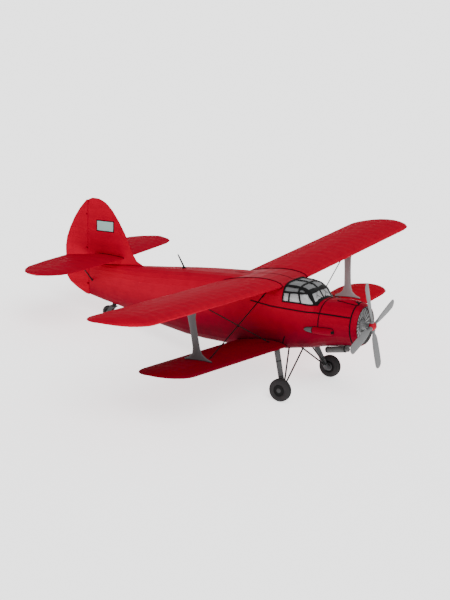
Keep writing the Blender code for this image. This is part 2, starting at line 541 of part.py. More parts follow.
def build_engine(frame, fuselage_form):
    """Cowl, shutters, engine, gear case, exhaust and the two ducts, which sit on the cowl and the nose."""
    stations = cowl_stations(COWL_RADII, COWL_SECTIONS)
    stations[-1] = (FIREWALL_Y - SEAT_GAP, *stations[-1][1:])
    outer = loft([body_ring(station) for station in stations], split=True)
    cowl = place_mesh("engine_cowl", outer, frame, RED)
    grown = loft([body_ring(station, -SEAT_GAP) for station in stations], split=True)
    envelope = place_mesh("cowl form", grown, frame)
    bore = loft([body_ring(station) for station in cowl_stations(BORE_RADII, BORE_SECTIONS)])
    combine(cowl, [place_mesh("cowl inside", bore, frame)])

    build_shutters(frame)
    rear = FIREWALL_Y - SEAT_GAP
    block = [(ENGINE_FRONT, 0.0), (ENGINE_FRONT, 0.30), (1.03, ENGINE_RADIUS), (1.50, ENGINE_RADIUS),
             (1.56, 0.42), (rear, 0.40), (rear, 0.0)]
    place_mesh("engine_block", turned(block, "Y", 28, (0.0, 0.0, HUB_Z)), frame, ENGINE_GREY)
    rear = ENGINE_FRONT - SEAT_GAP
    case = [(GEAR_FRONT, 0.0), (GEAR_FRONT, 0.075), (0.78, 0.085), (0.82, 0.155), (0.88, 0.185),
            (rear, GEARCASE_RADIUS - 0.002), (rear, 0.0)]
    place_mesh("gear_case", turned(case, "Y", 24, (0.0, 0.0, HUB_Z)), frame, ENGINE_GREY)

    pipe = rod(*EXHAUST, EXHAUST_RADIUS, sides=16)
    end = max(pipe.faces, key=lambda face: face.calc_center_median().y)
    bmesh.ops.inset_individual(pipe, faces=[end], thickness=EXHAUST_WALL)
    inward = (EXHAUST[0] - EXHAUST[1]).normalized() * EXHAUST_DEPTH
    for vert in end.verts:
        vert.co += inward
    exhaust = place_mesh("exhaust_pipe", pipe, frame, STRUT_GREY)
    elbow = place_mesh("exhaust elbow", rod(*EXHAUST_ELBOW, ELBOW_RADIUS, sides=16), frame)
    combine(exhaust, [elbow], "UNION")
    intake_duct = place_mesh("carburettor_intake", scoop_mesh(), frame, RED)
    side_duct = place_mesh("side_duct", side_duct_mesh(), frame, RED)
    for fitting in (exhaust, intake_duct, side_duct):
        combine(fitting, [envelope, fuselage_form])


def scoop_mesh():
    """The air scoop on top of the cowl, through squared arches that narrow towards both ends."""
    turns = [math.pi * step / 6 for step in range(7)]
    rings = []
    for y, half, top in SCOOP:
        rings.append([(SCOOP_X + half * math.copysign(abs(math.cos(turn)) ** 0.7, math.cos(turn)), y,
                       SCOOP_FOOT + (top - SCOOP_FOOT) * abs(math.sin(turn)) ** 0.7) for turn in turns])
    return loft(rings, split=True)


def side_duct_mesh():
    """A half-round air duct low on the starboard side, with a domed rear outlet."""
    turns = [math.tau * step / 14 for step in range(14)]
    rings = []
    for y, x, radius in SIDE_DUCT:
        rings.append([(x - radius * 0.9 * math.cos(turn), y, radius * math.sin(turn) + SIDE_DUCT_Z)
                      for turn in turns])
    return loft(rings)


def build_shutters(frame):
    """The cooling shutters: a disc round the gear case with raised radial slats."""
    centre = (0.0, 0.0, HUB_Z)
    snug = SHUTTER_RADIUS * math.cos(math.pi / BODY_POINTS) - SEAT_GAP
    profile = [(SHUTTER_FRONT, GEARCASE_RADIUS), (SHUTTER_FRONT, SLAT_LOW), (SHUTTER_FRONT, SLAT_HIGH),
               (SHUTTER_FRONT, snug), (SHUTTER_REAR, snug), (SHUTTER_REAR, GEARCASE_RADIUS)]
    bm = turned(profile, "Y", SLAT_COUNT * 2, centre)
    raised = []
    for face in bm.faces:
        middle = face.calc_center_median()
        radius = math.hypot(middle.x, middle.z - HUB_Z)
        sector = math.floor(math.atan2(middle.z - HUB_Z, middle.x) / math.tau * SLAT_COUNT * 2) % 2
        if abs(middle.y - SHUTTER_FRONT) < 0.001 and SLAT_LOW < radius < SLAT_HIGH and sector:
            raised.append(face)
    step = bmesh.ops.extrude_discrete_faces(bm, faces=raised)
    for face in step["faces"]:
        for vert in face.verts:
            vert.co.y -= SLAT_DEPTH
    place_mesh("cowl_shutters", bm, frame, STRUT_GREY)


def build_propeller(frame):
    """Hub with its ball spinner and four blades, all on the shaft's axis."""
    shaft = place_empty("propeller shaft", (0.0, PROP_Y, HUB_Z), parent=frame)
    profile = [(-SPINNER_RADIUS, 0.0)]
    ball = [math.radians(turn) for turn in range(25, 126, 20)]
    profile += [(-SPINNER_RADIUS * math.cos(turn), SPINNER_RADIUS * math.sin(turn)) for turn in ball]
    rear = GEAR_FRONT - PROP_Y - SEAT_GAP
    profile += [(0.13, 0.08), (rear, 0.07), (rear, 0.0)]
    hub = place_mesh("propeller_hub", turned(profile, "Y", 24), shaft, RED)
    for number in range(BLADE_COUNT):
        turn = math.radians(BLADE_START) + math.tau * number / BLADE_COUNT
        carrier = place_empty(f"blade carrier {number + 1}", (0.0, 0.0, 0.0), (0.0, -turn, 0.0), shaft)
        barrel = rod((0.03, 0.0, 0.0), (SOCKET_END, 0.0, 0.0), SOCKET_RADIUS)
        socket = place_mesh(f"blade socket {number + 1}", barrel, carrier)
        combine(hub, [socket], "UNION")
        place_mesh(f"propeller_blade_{number + 1}", blade_mesh(), carrier, BLADE_GREY)


def blade_mesh():
    """One paddle blade along +X: a round shank that flattens, widens and twists to a rounded tip."""
    wide = BLADE_CHORD / 2
    # Distance from the shaft, half chord, half thickness and pitch in degrees; it pulls when it turns
    # clockwise seen from the cockpit
    rows = ((SOCKET_END + SEAT_GAP, 0.050, 0.050, -20), (0.27, 0.050, 0.046, -19),
            (0.45, wide * 0.72, 0.030, -15), (0.72, wide * 0.90, 0.022, -11), (1.15, wide, 0.015, -8),
            (PROP_RADIUS - 0.16, wide * 0.98, 0.011, -7), (PROP_RADIUS - 0.07, wide * 0.80, 0.009, -7),
            (PROP_RADIUS - 0.02, wide * 0.50, 0.007, -7), (PROP_RADIUS, wide * 0.20, 0.005, -7))
    rings = []
    for x, half, thick, pitch in rows:
        tilt = math.radians(pitch)
        ring = []
        for step in range(12):
            turn = math.tau * step / 12
            chord, depth = half * math.cos(turn), thick * math.sin(turn)
            ring.append((x, chord * math.sin(tilt) + depth * math.cos(tilt),
                         chord * math.cos(tilt) - depth * math.sin(tilt)))
        rings.append(ring)
    return loft(rings)


def build_wings(frame, envelope):
    """Four wing panels with their ailerons and flaps; gives back the grown wing forms."""
    forms = {}
    reach, lead, height = WINGS["upper"]["root"]
    block = box((-reach, lead - 0.5, height - 0.6), (reach, lead + 3.0, height + 0.6))
    root_block = place_mesh("root block", block, frame)
    for level, wing in WINGS.items():
        reach, lead, height = wing["root"]
        for side_name, side in (("port", 1), ("starboard", -1)):
            turns = (-math.radians(wing["incidence"]), -side * math.radians(wing["dihedral"]), 0.0)
            root = place_empty(f"{level} wing root {side_name}", (side * reach, lead, height), turns, frame)
            panel = place_mesh(f"{level}_wing_{side_name}", wing_loft(wing, side), root, RED_DOPE)
            grown = wing_loft(wing, side, SEAT_GAP)
            forms[level, side] = place_mesh(f"{level} wing form {side_name}", grown, root)
            combine(panel, [root_block if level == "upper" else envelope])
            for surface, (where, inner, outer) in SURFACES.items():
                if where == level:
                    build_surface(surface, side_name, side, wing, root, panel, (inner, outer))
    return forms


def build_surface(surface, side_name, side, wing, root, panel, stations):
    """Cut a bay in the wing and hang the surface in it on pins along its hinge."""
    inner, outer = stations
    hinge_y, hinge_z, half = hinge_line(wing)
    radius = half * 1.03
    bay = place_mesh(f"{surface} bay {side_name}",
                     surface_block(wing, side, inner, outer, radius + RUN_GAP), root)
    combine(panel, [bay])
    name = f"{surface}_{side_name}"
    back = Matrix.Translation((0.0, -hinge_y, -hinge_z))
    pivot = place_empty(f"{name} hinge", (0.0, hinge_y, hinge_z), parent=root)
    form = wing_loft(wing, side)
    bmesh.ops.transform(form, matrix=back, verts=form.verts)
    moved = place_mesh(name, form, pivot, RED_DOPE)
    keep = surface_block(wing, side, inner + RUN_GAP, outer - RUN_GAP, radius)
    bmesh.ops.transform(keep, matrix=back, verts=keep.verts)
    kept = place_mesh(f"{name} form", keep, pivot)
    ends = [(side * x, 0.0, 0.0) for x in (inner + SEAT_GAP, outer - SEAT_GAP)]
    pin = rod(*ends, SURFACE_PIN_RADIUS)
    pins = place_mesh(f"{name} pin", pin, pivot)
    combine(moved, [kept], "INTERSECT")
    combine(moved, [pins], "UNION")


def build_interplane(frame, envelope, forms):
    """The I struts and the stays between the wings."""
    for side_name, side in (("port", 1), ("starboard", -1)):
        cutters = [forms["upper", side], forms["lower", side]]
        flip = Vector((side, 1.0, 1.0))
        strut = place_mesh(f"interplane_strut_{side_name}", strut_mesh(side), frame, STRUT_GREY)
        combine(strut, cutters)
        flying = [Vector(point) * flip for point in FLYING_STAY]
        landing = [Vector(point) * flip for point in LANDING_STAY]
        front, rear = geometry.intersect_line_line(*flying, *landing)
        reach = (rear - front) * (1 - (STAY_RADIUS + SEAT_GAP) / (rear - front).length)
        stay = place_mesh(f"flying_stay_{side_name}", rod(*flying, STAY_RADIUS, sides=8), frame, STRUT_GREY)
        spacer = rod(front, front + reach, SPACER_RADIUS, sides=8)
        spacer = place_mesh(f"stay spacer {side_name}", spacer, frame)
        combine(stay, [spacer], "UNION")
        combine(stay, [*cutters, envelope])
        stay = place_mesh(f"landing_stay_{side_name}", rod(*landing, STAY_RADIUS, sides=8), frame, STRUT_GREY)
        combine(stay, [*cutters, envelope])


def strut_mesh(side):
    """One I strut: a lens section that flares into a long foot and head."""
    run = STRUT_HEAD - STRUT_FOOT
    rings = []
    for share, half, thick in STRUT_ROWS:
        centre = STRUT_FOOT + run * share
        rings.append([(side * (centre.x + thick * math.sin(math.tau * step / 12)),
                       centre.y + half * math.cos(math.tau * step / 12), centre.z) for step in range(12)])
    return loft(rings)


def lens(chord_front, hinge_y, half, count=5, grow=0.0):
    """A fixed tail section from a rounded leading edge back to the hinge, as (y, half thickness)."""
    rows = []
    for step in range(count + 1):
        share = (step / count) ** 1.6
        rows.append((chord_front + (hinge_y - chord_front) * share - grow * (1 - share),
                     half * math.sin(math.pi / 2 * min(1.0, 0.12 + share * 1.3)) + grow))
    return rows


def build_tail(frame, envelope, bay):
    """Fin, rudder, tailplanes, elevators and the tailplane struts."""
    fin = place_mesh("fin", fin_mesh(), frame, RED_DOPE)
    combine(fin, [envelope, bay])
    add_lugs(frame, fin, "fin")
    fin_form = place_mesh("fin form", fin_mesh(SEAT_GAP), frame)

    hinge = place_empty("rudder hinge", (0.0, RUDDER_HINGE_Y, 0.0), parent=frame)
    rows = [(z, trail, half) for z, trail, half in RUDDER_LOW]
    rows += [(z, trail, half) for z, _, trail, half in FIN_STATIONS]
    rows += RUDDER_HEAD
    rings = [[(x, y, z) for y, x in teardrop(half, trail - RUDDER_HINGE_Y)] for z, trail, half in rows]
    rudder = place_mesh("rudder", loft(rings), hinge, RED_DOPE)
    slots, pins = [], []
    for height, _ in RUDDER_LUGS:
        half = LUG_THICK / 2 + TAIL_GAP
        slot = box((-0.2, -0.2, height - half), (0.2, LUG_HALF + TAIL_GAP, height + half))
        slots.append(place_mesh("lug slot", slot, hinge))
        pin = rod((0.0, 0.0, height - 2 * half), (0.0, 0.0, height + 2 * half), RUDDER_PIN_RADIUS, sides=24)
        pins.append(place_mesh("rudder pin", pin, hinge))
    combine(rudder, slots)
    combine(rudder, pins, "UNION")

    for side_name, side in (("port", 1), ("starboard", -1)):
        rings = []
        for x, lead, half in TAILPLANE_STATIONS:
            upper = lens(lead, ELEVATOR_HINGE_Y - 0.02, half)
            ring = [(side * x, y, TAILPLANE_Z + z) for y, z in upper]
            ring += [(side * x, y, TAILPLANE_Z - z) for y, z in reversed(upper)]
            rings.append(ring)
        plane = place_mesh(f"tailplane_{side_name}", loft(rings), frame, RED_DOPE)
        form_rings = [[(x, y, TAILPLANE_Z + (z - TAILPLANE_Z) * (1 + SEAT_GAP / 0.03)) for x, y, z in ring]
                      for ring in rings]
        plane_form = place_mesh(f"tailplane form {side_name}", loft(form_rings), frame)
        trough = rod((0.0, ELEVATOR_HINGE_Y, TAILPLANE_Z), (side * 4.2, ELEVATOR_HINGE_Y, TAILPLANE_Z),
                     TAILPLANE_STATIONS[0][2] + TAIL_GAP, sides=24)
        combine(plane, [fin_form, place_mesh(f"elevator bay {side_name}", trough, frame)])
        build_elevator(frame, side_name, side)
        strut = rod((side * 0.05, 11.60, 0.20), (side * 1.50, 11.08, 1.16), 0.022, sides=8)
        tail_strut = place_mesh(f"tailplane_strut_{side_name}", strut, frame, STRUT_GREY)
        combine(tail_strut, [envelope, plane_form])


def teardrop(half, chord, steps=6):
    """A moving tail section about its hinge: a round nose ahead of it and a straight taper behind."""
    nose = [(-half * math.sin(math.pi * step / steps), half * math.cos(math.pi * step / steps))
            for step in range(steps + 1)]
    return nose + [(chord, -0.006), (chord, 0.006)]


def build_elevator(frame, side_name, side):
    """One elevator about its hinge line, with the tube that carries it at the fin."""
    pivot = place_empty(f"elevator hinge {side_name}", (0.0, ELEVATOR_HINGE_Y, TAILPLANE_Z), parent=frame)
    rings = [[(side * x, y, z) for y, z in teardrop(half, trail - ELEVATOR_HINGE_Y)]
             for x, trail, half in ELEVATOR_STATIONS]
    elevator = place_mesh(f"elevator_{side_name}", loft(rings), pivot, RED_DOPE)
    tube = rod((side * (FIN_STATIONS[2][3] + SEAT_GAP), 0.0, 0.0), (side * 0.3, 0.0, 0.0), SURFACE_PIN_RADIUS)
    combine(elevator, [place_mesh("elevator tube", tube, pivot)], "UNION")


def fin_mesh(grow=0.0):
    """The fin from inside the tail cone to its rounded head."""
    rings = []
    rows = [(z, lead, RUDDER_HINGE_Y - 0.01, half) for z, lead, _, half in FIN_STATIONS]
    for z, lead, rear, half in (*rows, *FIN_HEAD):
        outline = lens(lead, rear, half, grow=grow)
        rings.append([(x, y, z) for y, x in outline] + [(-x, y, z) for y, x in reversed(outline)])
    return loft(rings)


def build_main_gear(frame, envelope, forms, angle):
    """Main legs with their braces and axles, and the wheels that turn on them."""
    for side_name, side in (("port", 1), ("starboard", -1)):
        flip = Vector((side, 1.0, 1.0))
        wheel = MAIN_WHEEL * flip

        def on_axle(x):
            return side * x, wheel.y, wheel.z

        knee, top = LEG_KNEE * flip, LEG_TOP * flip
        tube = rod(knee, top, LEG_LOW_RADIUS, LEG_HIGH_RADIUS, 16)
        leg = place_mesh(f"main_gear_{side_name}", tube, frame, STRUT_GREY)
        stub = rod(on_axle(1.42), on_axle(1.74), AXLE_RADIUS, sides=24)
        axle = place_mesh(f"axle {side_name}", stub, frame)
        drum = rod(on_axle(1.40), on_axle(1.555), 0.075, sides=16)
        boss = place_mesh(f"axle boss {side_name}", drum, frame)
        braces = []
        for end in BRACE_ENDS:
            brace = rod(Vector((side * 1.46, wheel.y, wheel.z + 0.04)), end * flip, BRACE_RADIUS, sides=8)
            braces.append(place_mesh(f"brace {side_name}", brace, frame))
        combine(leg, [boss, axle, *braces], "UNION")
        combine(leg, [envelope, forms["lower", side]])
        hub_pivot = place_empty(f"main wheel {side_name}", wheel, (angle, 0.0, 0.0), frame)
        build_wheel(f"main_{side_name}", hub_pivot, MAIN_TYRE_RADIUS, MAIN_TYRE_WIDTH, MAIN_RIM_RADIUS,
                    AXLE_RADIUS + AXLE_GAP)


def build_wheel(name, pivot, radius, width, rim, bore):
    """A drum hub with a bore for its axle, and the tyre round it, both turned about X."""
    half = width / 2
    drum = [(-half * 0.80, bore), (half * 0.80, bore), (half * 0.80, rim * 0.32), (half * 0.52, rim * 0.45),
            (half * 0.52, rim * 0.86), (half * 0.78, rim), (-half * 0.78, rim), (-half * 0.80, rim * 0.40)]
    place_mesh(f"{name}_wheel_hub", turned(drum, "X", 24), pivot, STRUT_GREY)
    inner, wall, shoulder = rim + SEAT_GAP, (rim + radius) / 2, rim + (radius - rim) * 0.86
    tyre = [(-half * 0.78, inner), (half * 0.78, inner), (half, wall), (half * 0.86, shoulder),
            (half * 0.52, radius), (-half * 0.52, radius), (-half * 0.86, shoulder), (-half, wall)]
    place_mesh(f"{name}_tyre", turned(tyre, "X", 24), pivot, TYRE)


def build_tail_wheel(frame, envelope, angle):
    """The tail wheel in its trailing fork, on an upright swivel under the tail cone."""
    upright = place_empty("tail wheel upright", TAIL_WHEEL, (angle, 0.0, 0.0), frame)
    swivel = place_empty("tail swivel", (0.0, -TAIL_TRAIL, 0.0), parent=upright)
    crown = TAIL_TYRE_RADIUS + 0.015
    top = crown + FORK_PLATE
    post = rod((0.0, 0.0, top + SEAT_GAP), (0.0, 0.0, crown + 0.45), 0.055, 0.085, 16)
    bracket = place_mesh("tail_wheel_bracket", post, swivel, STRUT_GREY)
    combine(bracket, [envelope])
    half = TAIL_TYRE_WIDTH / 2 + 0.012
    wide = half + FORK_ARM
    fork = place_mesh("tail_wheel_fork", box((-wide, -0.075, crown), (wide, 0.13, top)), swivel, STRUT_GREY)
    arms = []
    for side in (1, -1):
        outline = [(-0.06, crown + 0.02), (0.12, crown + 0.02), (TAIL_TRAIL + 0.05, -0.03),
                   (TAIL_TRAIL - 0.05, -0.05)]
        low, high = sorted((side * half, side * wide))
        arms.append(place_mesh("fork arm", prism(outline, low, high), swivel))
    axle = rod((-half - 0.01, TAIL_TRAIL, 0.0), (half + 0.01, TAIL_TRAIL, 0.0), TAIL_AXLE_RADIUS, sides=24)
    arms.append(place_mesh("fork axle", axle, swivel))
    combine(fork, arms, "UNION")
    wheel = place_empty("tail wheel", (0.0, TAIL_TRAIL, 0.0), parent=swivel)
    build_wheel("tail", wheel, TAIL_TYRE_RADIUS, TAIL_TYRE_WIDTH, TAIL_RIM_RADIUS,
                TAIL_AXLE_RADIUS + AXLE_GAP)


def build_mast(frame, envelope):
    """The aerial mast behind the wing."""
    pole = rod((0.0, 7.66, 0.95), (0.0, 8.02, 1.56), 0.028, 0.016, 10)
    combine(place_mesh("aerial_mast", pole, frame, BLACK_FRAME), [envelope])


def stand_on_ground(frame):
    """Move the airframe until the origin is under the middle of the bounding box."""
    bpy.context.view_layer.update()
    shown = [found for found in bpy.data.objects if found.type == "MESH" and not found.hide_render]
    scene_graph = bpy.context.evaluated_depsgraph_get()
    corners = []
    for found in shown:
        whole = found.evaluated_get(scene_graph)
        corners += [whole.matrix_world @ vert.co for vert in whole.data.vertices]
    low = Vector([min(corner[axis] for corner in corners) for axis in range(3)])
    high = Vector([max(corner[axis] for corner in corners) for axis in range(3)])
    frame.location = -Vector(((low.x + high.x) / 2, (low.y + high.y) / 2, low.z))
    bpy.context.view_layer.update()


def main():
    """Build the aeroplane."""
    clear_scene()
    frame, angle = build_airframe()
    envelope, bay = build_fuselage(frame)
    build_door(frame)
    build_canopy(frame)
    build_cockpit(frame)
    build_engine(frame, envelope)
    build_propeller(frame)
    forms = build_wings(frame, envelope)
    build_interplane(frame, envelope, forms)
    build_tail(frame, envelope, bay)
    build_main_gear(frame, envelope, forms, angle)
    build_tail_wheel(frame, envelope, angle)
    build_mast(frame, envelope)
    stand_on_ground(frame)


main()
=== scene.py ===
"""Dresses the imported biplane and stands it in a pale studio.

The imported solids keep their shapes.  This script gives each one its finish and adds what a step closer shows: seams,
seals, rib tapes, rivets, duct mouths, wipers, tyres, gear fittings, the cockpit's trim and the tail's plates and tabs.
Places are given in the aeroplane's level datum frame: +X to port, +Y aft of the propeller, +Z up, all in metres.
"""
from __future__ import annotations

import json
import logging
import math
from collections.abc import Callable, Sequence
from dataclasses import dataclass
from enum import Enum

import bmesh
import bpy
from bmesh.types import BMesh, BMFace
from mathutils import Matrix, Vector
from mathutils.bvhtree import BVHTree

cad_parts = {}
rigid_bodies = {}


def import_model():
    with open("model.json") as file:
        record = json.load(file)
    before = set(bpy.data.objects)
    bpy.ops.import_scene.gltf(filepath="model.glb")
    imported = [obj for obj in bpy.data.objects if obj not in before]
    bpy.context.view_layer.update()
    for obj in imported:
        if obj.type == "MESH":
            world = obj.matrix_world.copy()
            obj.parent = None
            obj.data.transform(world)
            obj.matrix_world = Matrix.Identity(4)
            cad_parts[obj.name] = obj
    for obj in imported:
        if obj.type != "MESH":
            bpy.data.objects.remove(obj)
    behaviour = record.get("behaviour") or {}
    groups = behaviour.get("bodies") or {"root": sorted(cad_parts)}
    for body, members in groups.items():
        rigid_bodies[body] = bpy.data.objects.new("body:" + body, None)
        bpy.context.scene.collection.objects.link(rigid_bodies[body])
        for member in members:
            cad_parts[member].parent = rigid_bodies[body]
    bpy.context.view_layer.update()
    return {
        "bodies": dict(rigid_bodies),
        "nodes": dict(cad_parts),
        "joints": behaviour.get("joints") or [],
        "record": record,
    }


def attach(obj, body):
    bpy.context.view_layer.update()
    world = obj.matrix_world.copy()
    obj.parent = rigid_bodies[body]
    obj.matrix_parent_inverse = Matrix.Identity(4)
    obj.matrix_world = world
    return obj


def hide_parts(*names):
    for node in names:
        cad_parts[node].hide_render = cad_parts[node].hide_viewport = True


LOG = logging.getLogger("biplane")
Colour = tuple[float, float, float]
Place = tuple[float, float, float]
Cut = tuple[Vector, Vector]
Pair = tuple[float, float]
Outline = tuple[Pair, ...]
Bolts = tuple[float, int, float, float]      # ring, count, and each head's radius and height

# Level places: the propeller's centre, and both ends of the port main leg
SHAFT = Vector((0.0, 0.50, 0.02))
LEG_KNEE, LEG_TOP = Vector((1.47, 3.00, -2.05)), Vector((1.15, 3.42, -0.865))
HULL_Z = 0.05                # level height of the hull's middle line
MERGE = 0.00002              # vertices nearer than this are one
COAT_ROUGHNESS = 0.12
SHINE_SPREAD = 0.16          # how far a worn roughness ranges
ROUND = 60.0                 # edges of round bars under this angle, in degrees, are shown smooth
STUD_SINK, STUD_TAPER = 0.3, 0.55
ROOT = "airframe"
# Level directions
PORT, AFT, AHEAD, UP = (1.0, 0.0, 0.0), (0.0, 1.0, 0.0), (0.0, -1.0, 0.0), (0.0, 0.0, 1.0)


class Side(Enum):
    """A side of the aeroplane and the sign of its X."""

    PORT = 1
    STARBOARD = -1

    @property
    def word(self) -> str:
        """The side's name as the nodes spell it."""
        return self.name.lower()

    def mirror(self, place: Sequence[float]) -> Place:
        """A port place or direction brought to this side."""
        return (place[0] * self.value, place[1], place[2])


class Axis(Enum):
    """A level axis by its place in a vector."""

    SPAN = 0
    LENGTH = 1
    HEIGHT = 2


@dataclass(frozen=True)
class Level:
    """The level datum frame, as a matrix into the row frame."""

    matrix: Matrix

    @classmethod
    def of_frame(cls, frame: dict) -> Level:
        """Read the datum frame off the propeller shaft's joint.


        Returns:
            The level frame.
        """
        spin = next(joint for joint in frame["joints"] if joint["name"] == "propeller_spin")
        aft = Vector(spin["axis"]).normalized()
        port = Vector(PORT)
        turn = Matrix((port, aft, port.cross(aft))).transposed()
        return cls(Matrix.Translation(Vector(spin["pos_m"]) - turn @ SHAFT) @ turn.to_4x4())

    def at(self, x: float, y: float, z: float) -> Vector:
        """A level place in the row frame."""
        return self.matrix @ Vector((x, y, z))

    def along(self, x: float, y: float, z: float) -> Vector:
        """A level direction in the row frame."""
        return (self.matrix.to_3x3() @ Vector((x, y, z))).normalized()

    def read(self, point: Vector) -> Vector:
        """A row-frame point in level coordinates."""
        return self.matrix.inverted() @ point


class Value:
    """A number socket whose Python operators add Math nodes."""

    def __init__(self, graph: Graph, socket: bpy.types.NodeSocket) -> None:
        """Wrap a socket of a graph."""
        self.graph = graph
        self.socket = socket

    def __add__(self, other: Value | float) -> Value:
        """Sum."""
        return self.graph.maths("ADD", self, other)

    __radd__ = __add__

    def __sub__(self, other: Value | float) -> Value:
        """Difference."""
        return self.graph.maths("SUBTRACT", self, other)

    def __rsub__(self, other: Value | float) -> Value:
        """Difference with this value taken away."""
        return self.graph.maths("SUBTRACT", other, self)

    def __mul__(self, other: Value | float) -> Value:
        """Product."""
        return self.graph.maths("MULTIPLY", self, other)

    __rmul__ = __mul__

    def __truediv__(self, other: Value | float) -> Value:
        """Quotient."""
        return self.graph.maths("DIVIDE", self, other)

    def __rtruediv__(self, other: Value | float) -> Value:
        """Quotient with this value below the line."""
        return self.graph.maths("DIVIDE", other, self)

    def __gt__(self, other: Value | float) -> Value:
        """One where this value is the larger."""
        return self.graph.maths("GREATER_THAN", self, other)

    def __lt__(self, other: Value | float) -> Value:
        """One where this value is the smaller."""
        return self.graph.maths("LESS_THAN", self, other)

    def __abs__(self) -> Value:
        """Size without sign."""
        return self.graph.maths("ABSOLUTE", self)

    def cosine(self) -> Value:
        """Cosine of an angle in radians."""
        return self.graph.maths("COSINE", self)

    def root(self) -> Value:
        """Square root."""
        return self.graph.maths("SQRT", self)

    def steps(self, low: float, high: float) -> Value:
        """A soft rise from 0 at one number to 1 at another.

        Args:
            low: Where the rise starts.
            high: Where it ends.

        Returns:
            The rise.
        """
        made = self.graph.node("ShaderNodeMapRange", {"interpolation_type": "SMOOTHSTEP"},
                               {"Value": self, "From Min": low, "From Max": high})
        return Value(self.graph, made.outputs[0])


class Graph:
    """The nodes of one material."""

    def __init__(self, name: str, level: Level) -> None:
        """Start a material with its principled shader and its level coordinates.

        Args:
            name: The material's name.
            level: The level frame its patterns follow.
        """
        self.material = bpy.data.materials.new(name)
        self.material.use_nodes = True
        self.tree = self.material.node_tree
        self.shader = self.tree.nodes["Principled BSDF"]
        seat = level.matrix.inverted()
        coordinates = self.node("ShaderNodeTexCoord")
        mapping = self.node("ShaderNodeMapping", {}, {
            "Vector": coordinates.outputs["Object"], "Location": seat.translation, "Rotation": seat.to_euler()})
        self.place = mapping.outputs[0]
        parts = self.node("ShaderNodeSeparateXYZ", {}, {0: self.place})
        self.x, self.y, self.z = (Value(self, parts.outputs[number]) for number in range(3))

    def node(self, kind: str, settings: dict | None = None, links: dict | None = None) -> bpy.types.Node:
        """Add any node.

        Args:
            kind: The node's type name.
            settings: Attributes set before its sockets are used.
            links: Values or links by socket name or number.

        Returns:
            The node.
        """
        made = self.tree.nodes.new(kind)
        for key, value in (settings or {}).items():
            setattr(made, key, value)
        for key, value in (links or {}).items():
            self.feed(made.inputs[key], value)
        return made

    def feed(self, socket: bpy.types.NodeSocket, value: object) -> None:
        """Link a socket to a value's socket, or set it to a number or colour.

        Args:
            socket: The input that is fed.
            value: A value, a socket, a number or a colour.
        """
        if isinstance(value, Value):
            value = value.socket
        if isinstance(value, bpy.types.NodeSocket):
            self.tree.links.new(value, socket)
        else:
            socket.default_value = value

    def maths(self, operation: str, *values: Value | float) -> Value:
        """A Math node's answer."""
        return Value(self, self.node("ShaderNodeMath", {"operation": operation}, dict(enumerate(values))).outputs[0])

    def mix(self, share: Value | float, first: object, second: object) -> bpy.types.NodeSocket:
        """Blend two colours.

        Args:
            share: How much of the second colour shows.
            first: A colour or a colour socket.
            second: A colour or a colour socket.

        Returns:
            The blended colour's socket.
        """
        pair = [(*item, 1.0) if isinstance(item, tuple) else item for item in (first, second)]
        made = self.node("ShaderNodeMix", {"data_type": "RGBA"}, {0: share, 6: pair[0], 7: pair[1]})
        return made.outputs[2]

    def noise(self, scale: float, detail: float = 3.0, stretch: Place = (1.0, 1.0, 1.0)) -> Value:
        """Cloudy noise over the level coordinates, in waves to the metre.

        Args:
            scale: Waves to the metre.
            detail: How many finer layers it has.
            stretch: A factor on the scale along each level axis.

        Returns:
            The noise, from 0 to 1.
        """
        spread = self.node("ShaderNodeMapping", {}, {"Vector": self.place, "Scale": stretch})
        made = self.node("ShaderNodeTexNoise", {}, {"Vector": spread.outputs[0], "Scale": scale, "Detail": detail})
        return Value(self, made.outputs[0])

    def from_shaft(self) -> Value:
        """How far a place is from the propeller shaft's line."""
        return (self.x * self.x + (self.z - SHAFT.z) * (self.z - SHAFT.z)).root()

    def bump(self, height: Value) -> None:
        """Put a height in metres on the shader's normal."""
        made = self.node("ShaderNodeBump", {}, {"Strength": 1.0, "Distance": 1.0, "Height": height})
        self.feed(self.shader.inputs["Normal"], made.outputs[0])


@dataclass(frozen=True)
class Finish:
    """A finish with a clouded tone, a worn roughness and a fine grain."""

    name: str
    slot: str
    colour: Colour
    shade: Colour
    roughness: float = 0.5
    metallic: float = 0.0
    coat: float = 0.0
    mottle: float = 0.25
    cloud: float = 3.0
    grain: float = 90.0
    depth: float = 0.0004
    specular: float = 0.5

    def tone(self, graph: Graph) -> bpy.types.NodeSocket:
        """The colour over the surface."""
        return graph.mix(graph.noise(self.cloud, 5.0).steps(0.35, 0.75) * self.mottle, self.colour, self.shade)

    def shine(self, graph: Graph) -> Value:
        """The roughness over the surface."""
        return graph.noise(self.cloud * 3.0, 6.0) * SHINE_SPREAD + (self.roughness - SHINE_SPREAD / 2)

    def relief(self, graph: Graph) -> Value:
        """The height of the surface's grain in metres."""
        return graph.noise(self.grain, 2.0) * self.depth

    def build(self, level: Level) -> bpy.types.Material:
        """Make the material, once for each name.

        Args:
            level: The level frame its patterns follow.

        Returns:
            The material.
        """
        found = bpy.data.materials.get(self.name)
        if found is not None:
            return found
        graph = Graph(self.name, level)
        inputs = graph.shader.inputs
        inputs["Metallic"].default_value = self.metallic
        inputs["Coat Weight"].default_value = self.coat
        inputs["Coat Roughness"].default_value = COAT_ROUGHNESS
        inputs["Specular IOR Level"].default_value = self.specular
        graph.feed(inputs["Base Color"], self.tone(graph))
        graph.feed(inputs["Roughness"], self.shine(graph))
        graph.bump(self.relief(graph))
        self.finish_off(graph)
        return graph.material

    def finish_off(self, graph: Graph) -> None:
        """A last touch that some finishes need."""


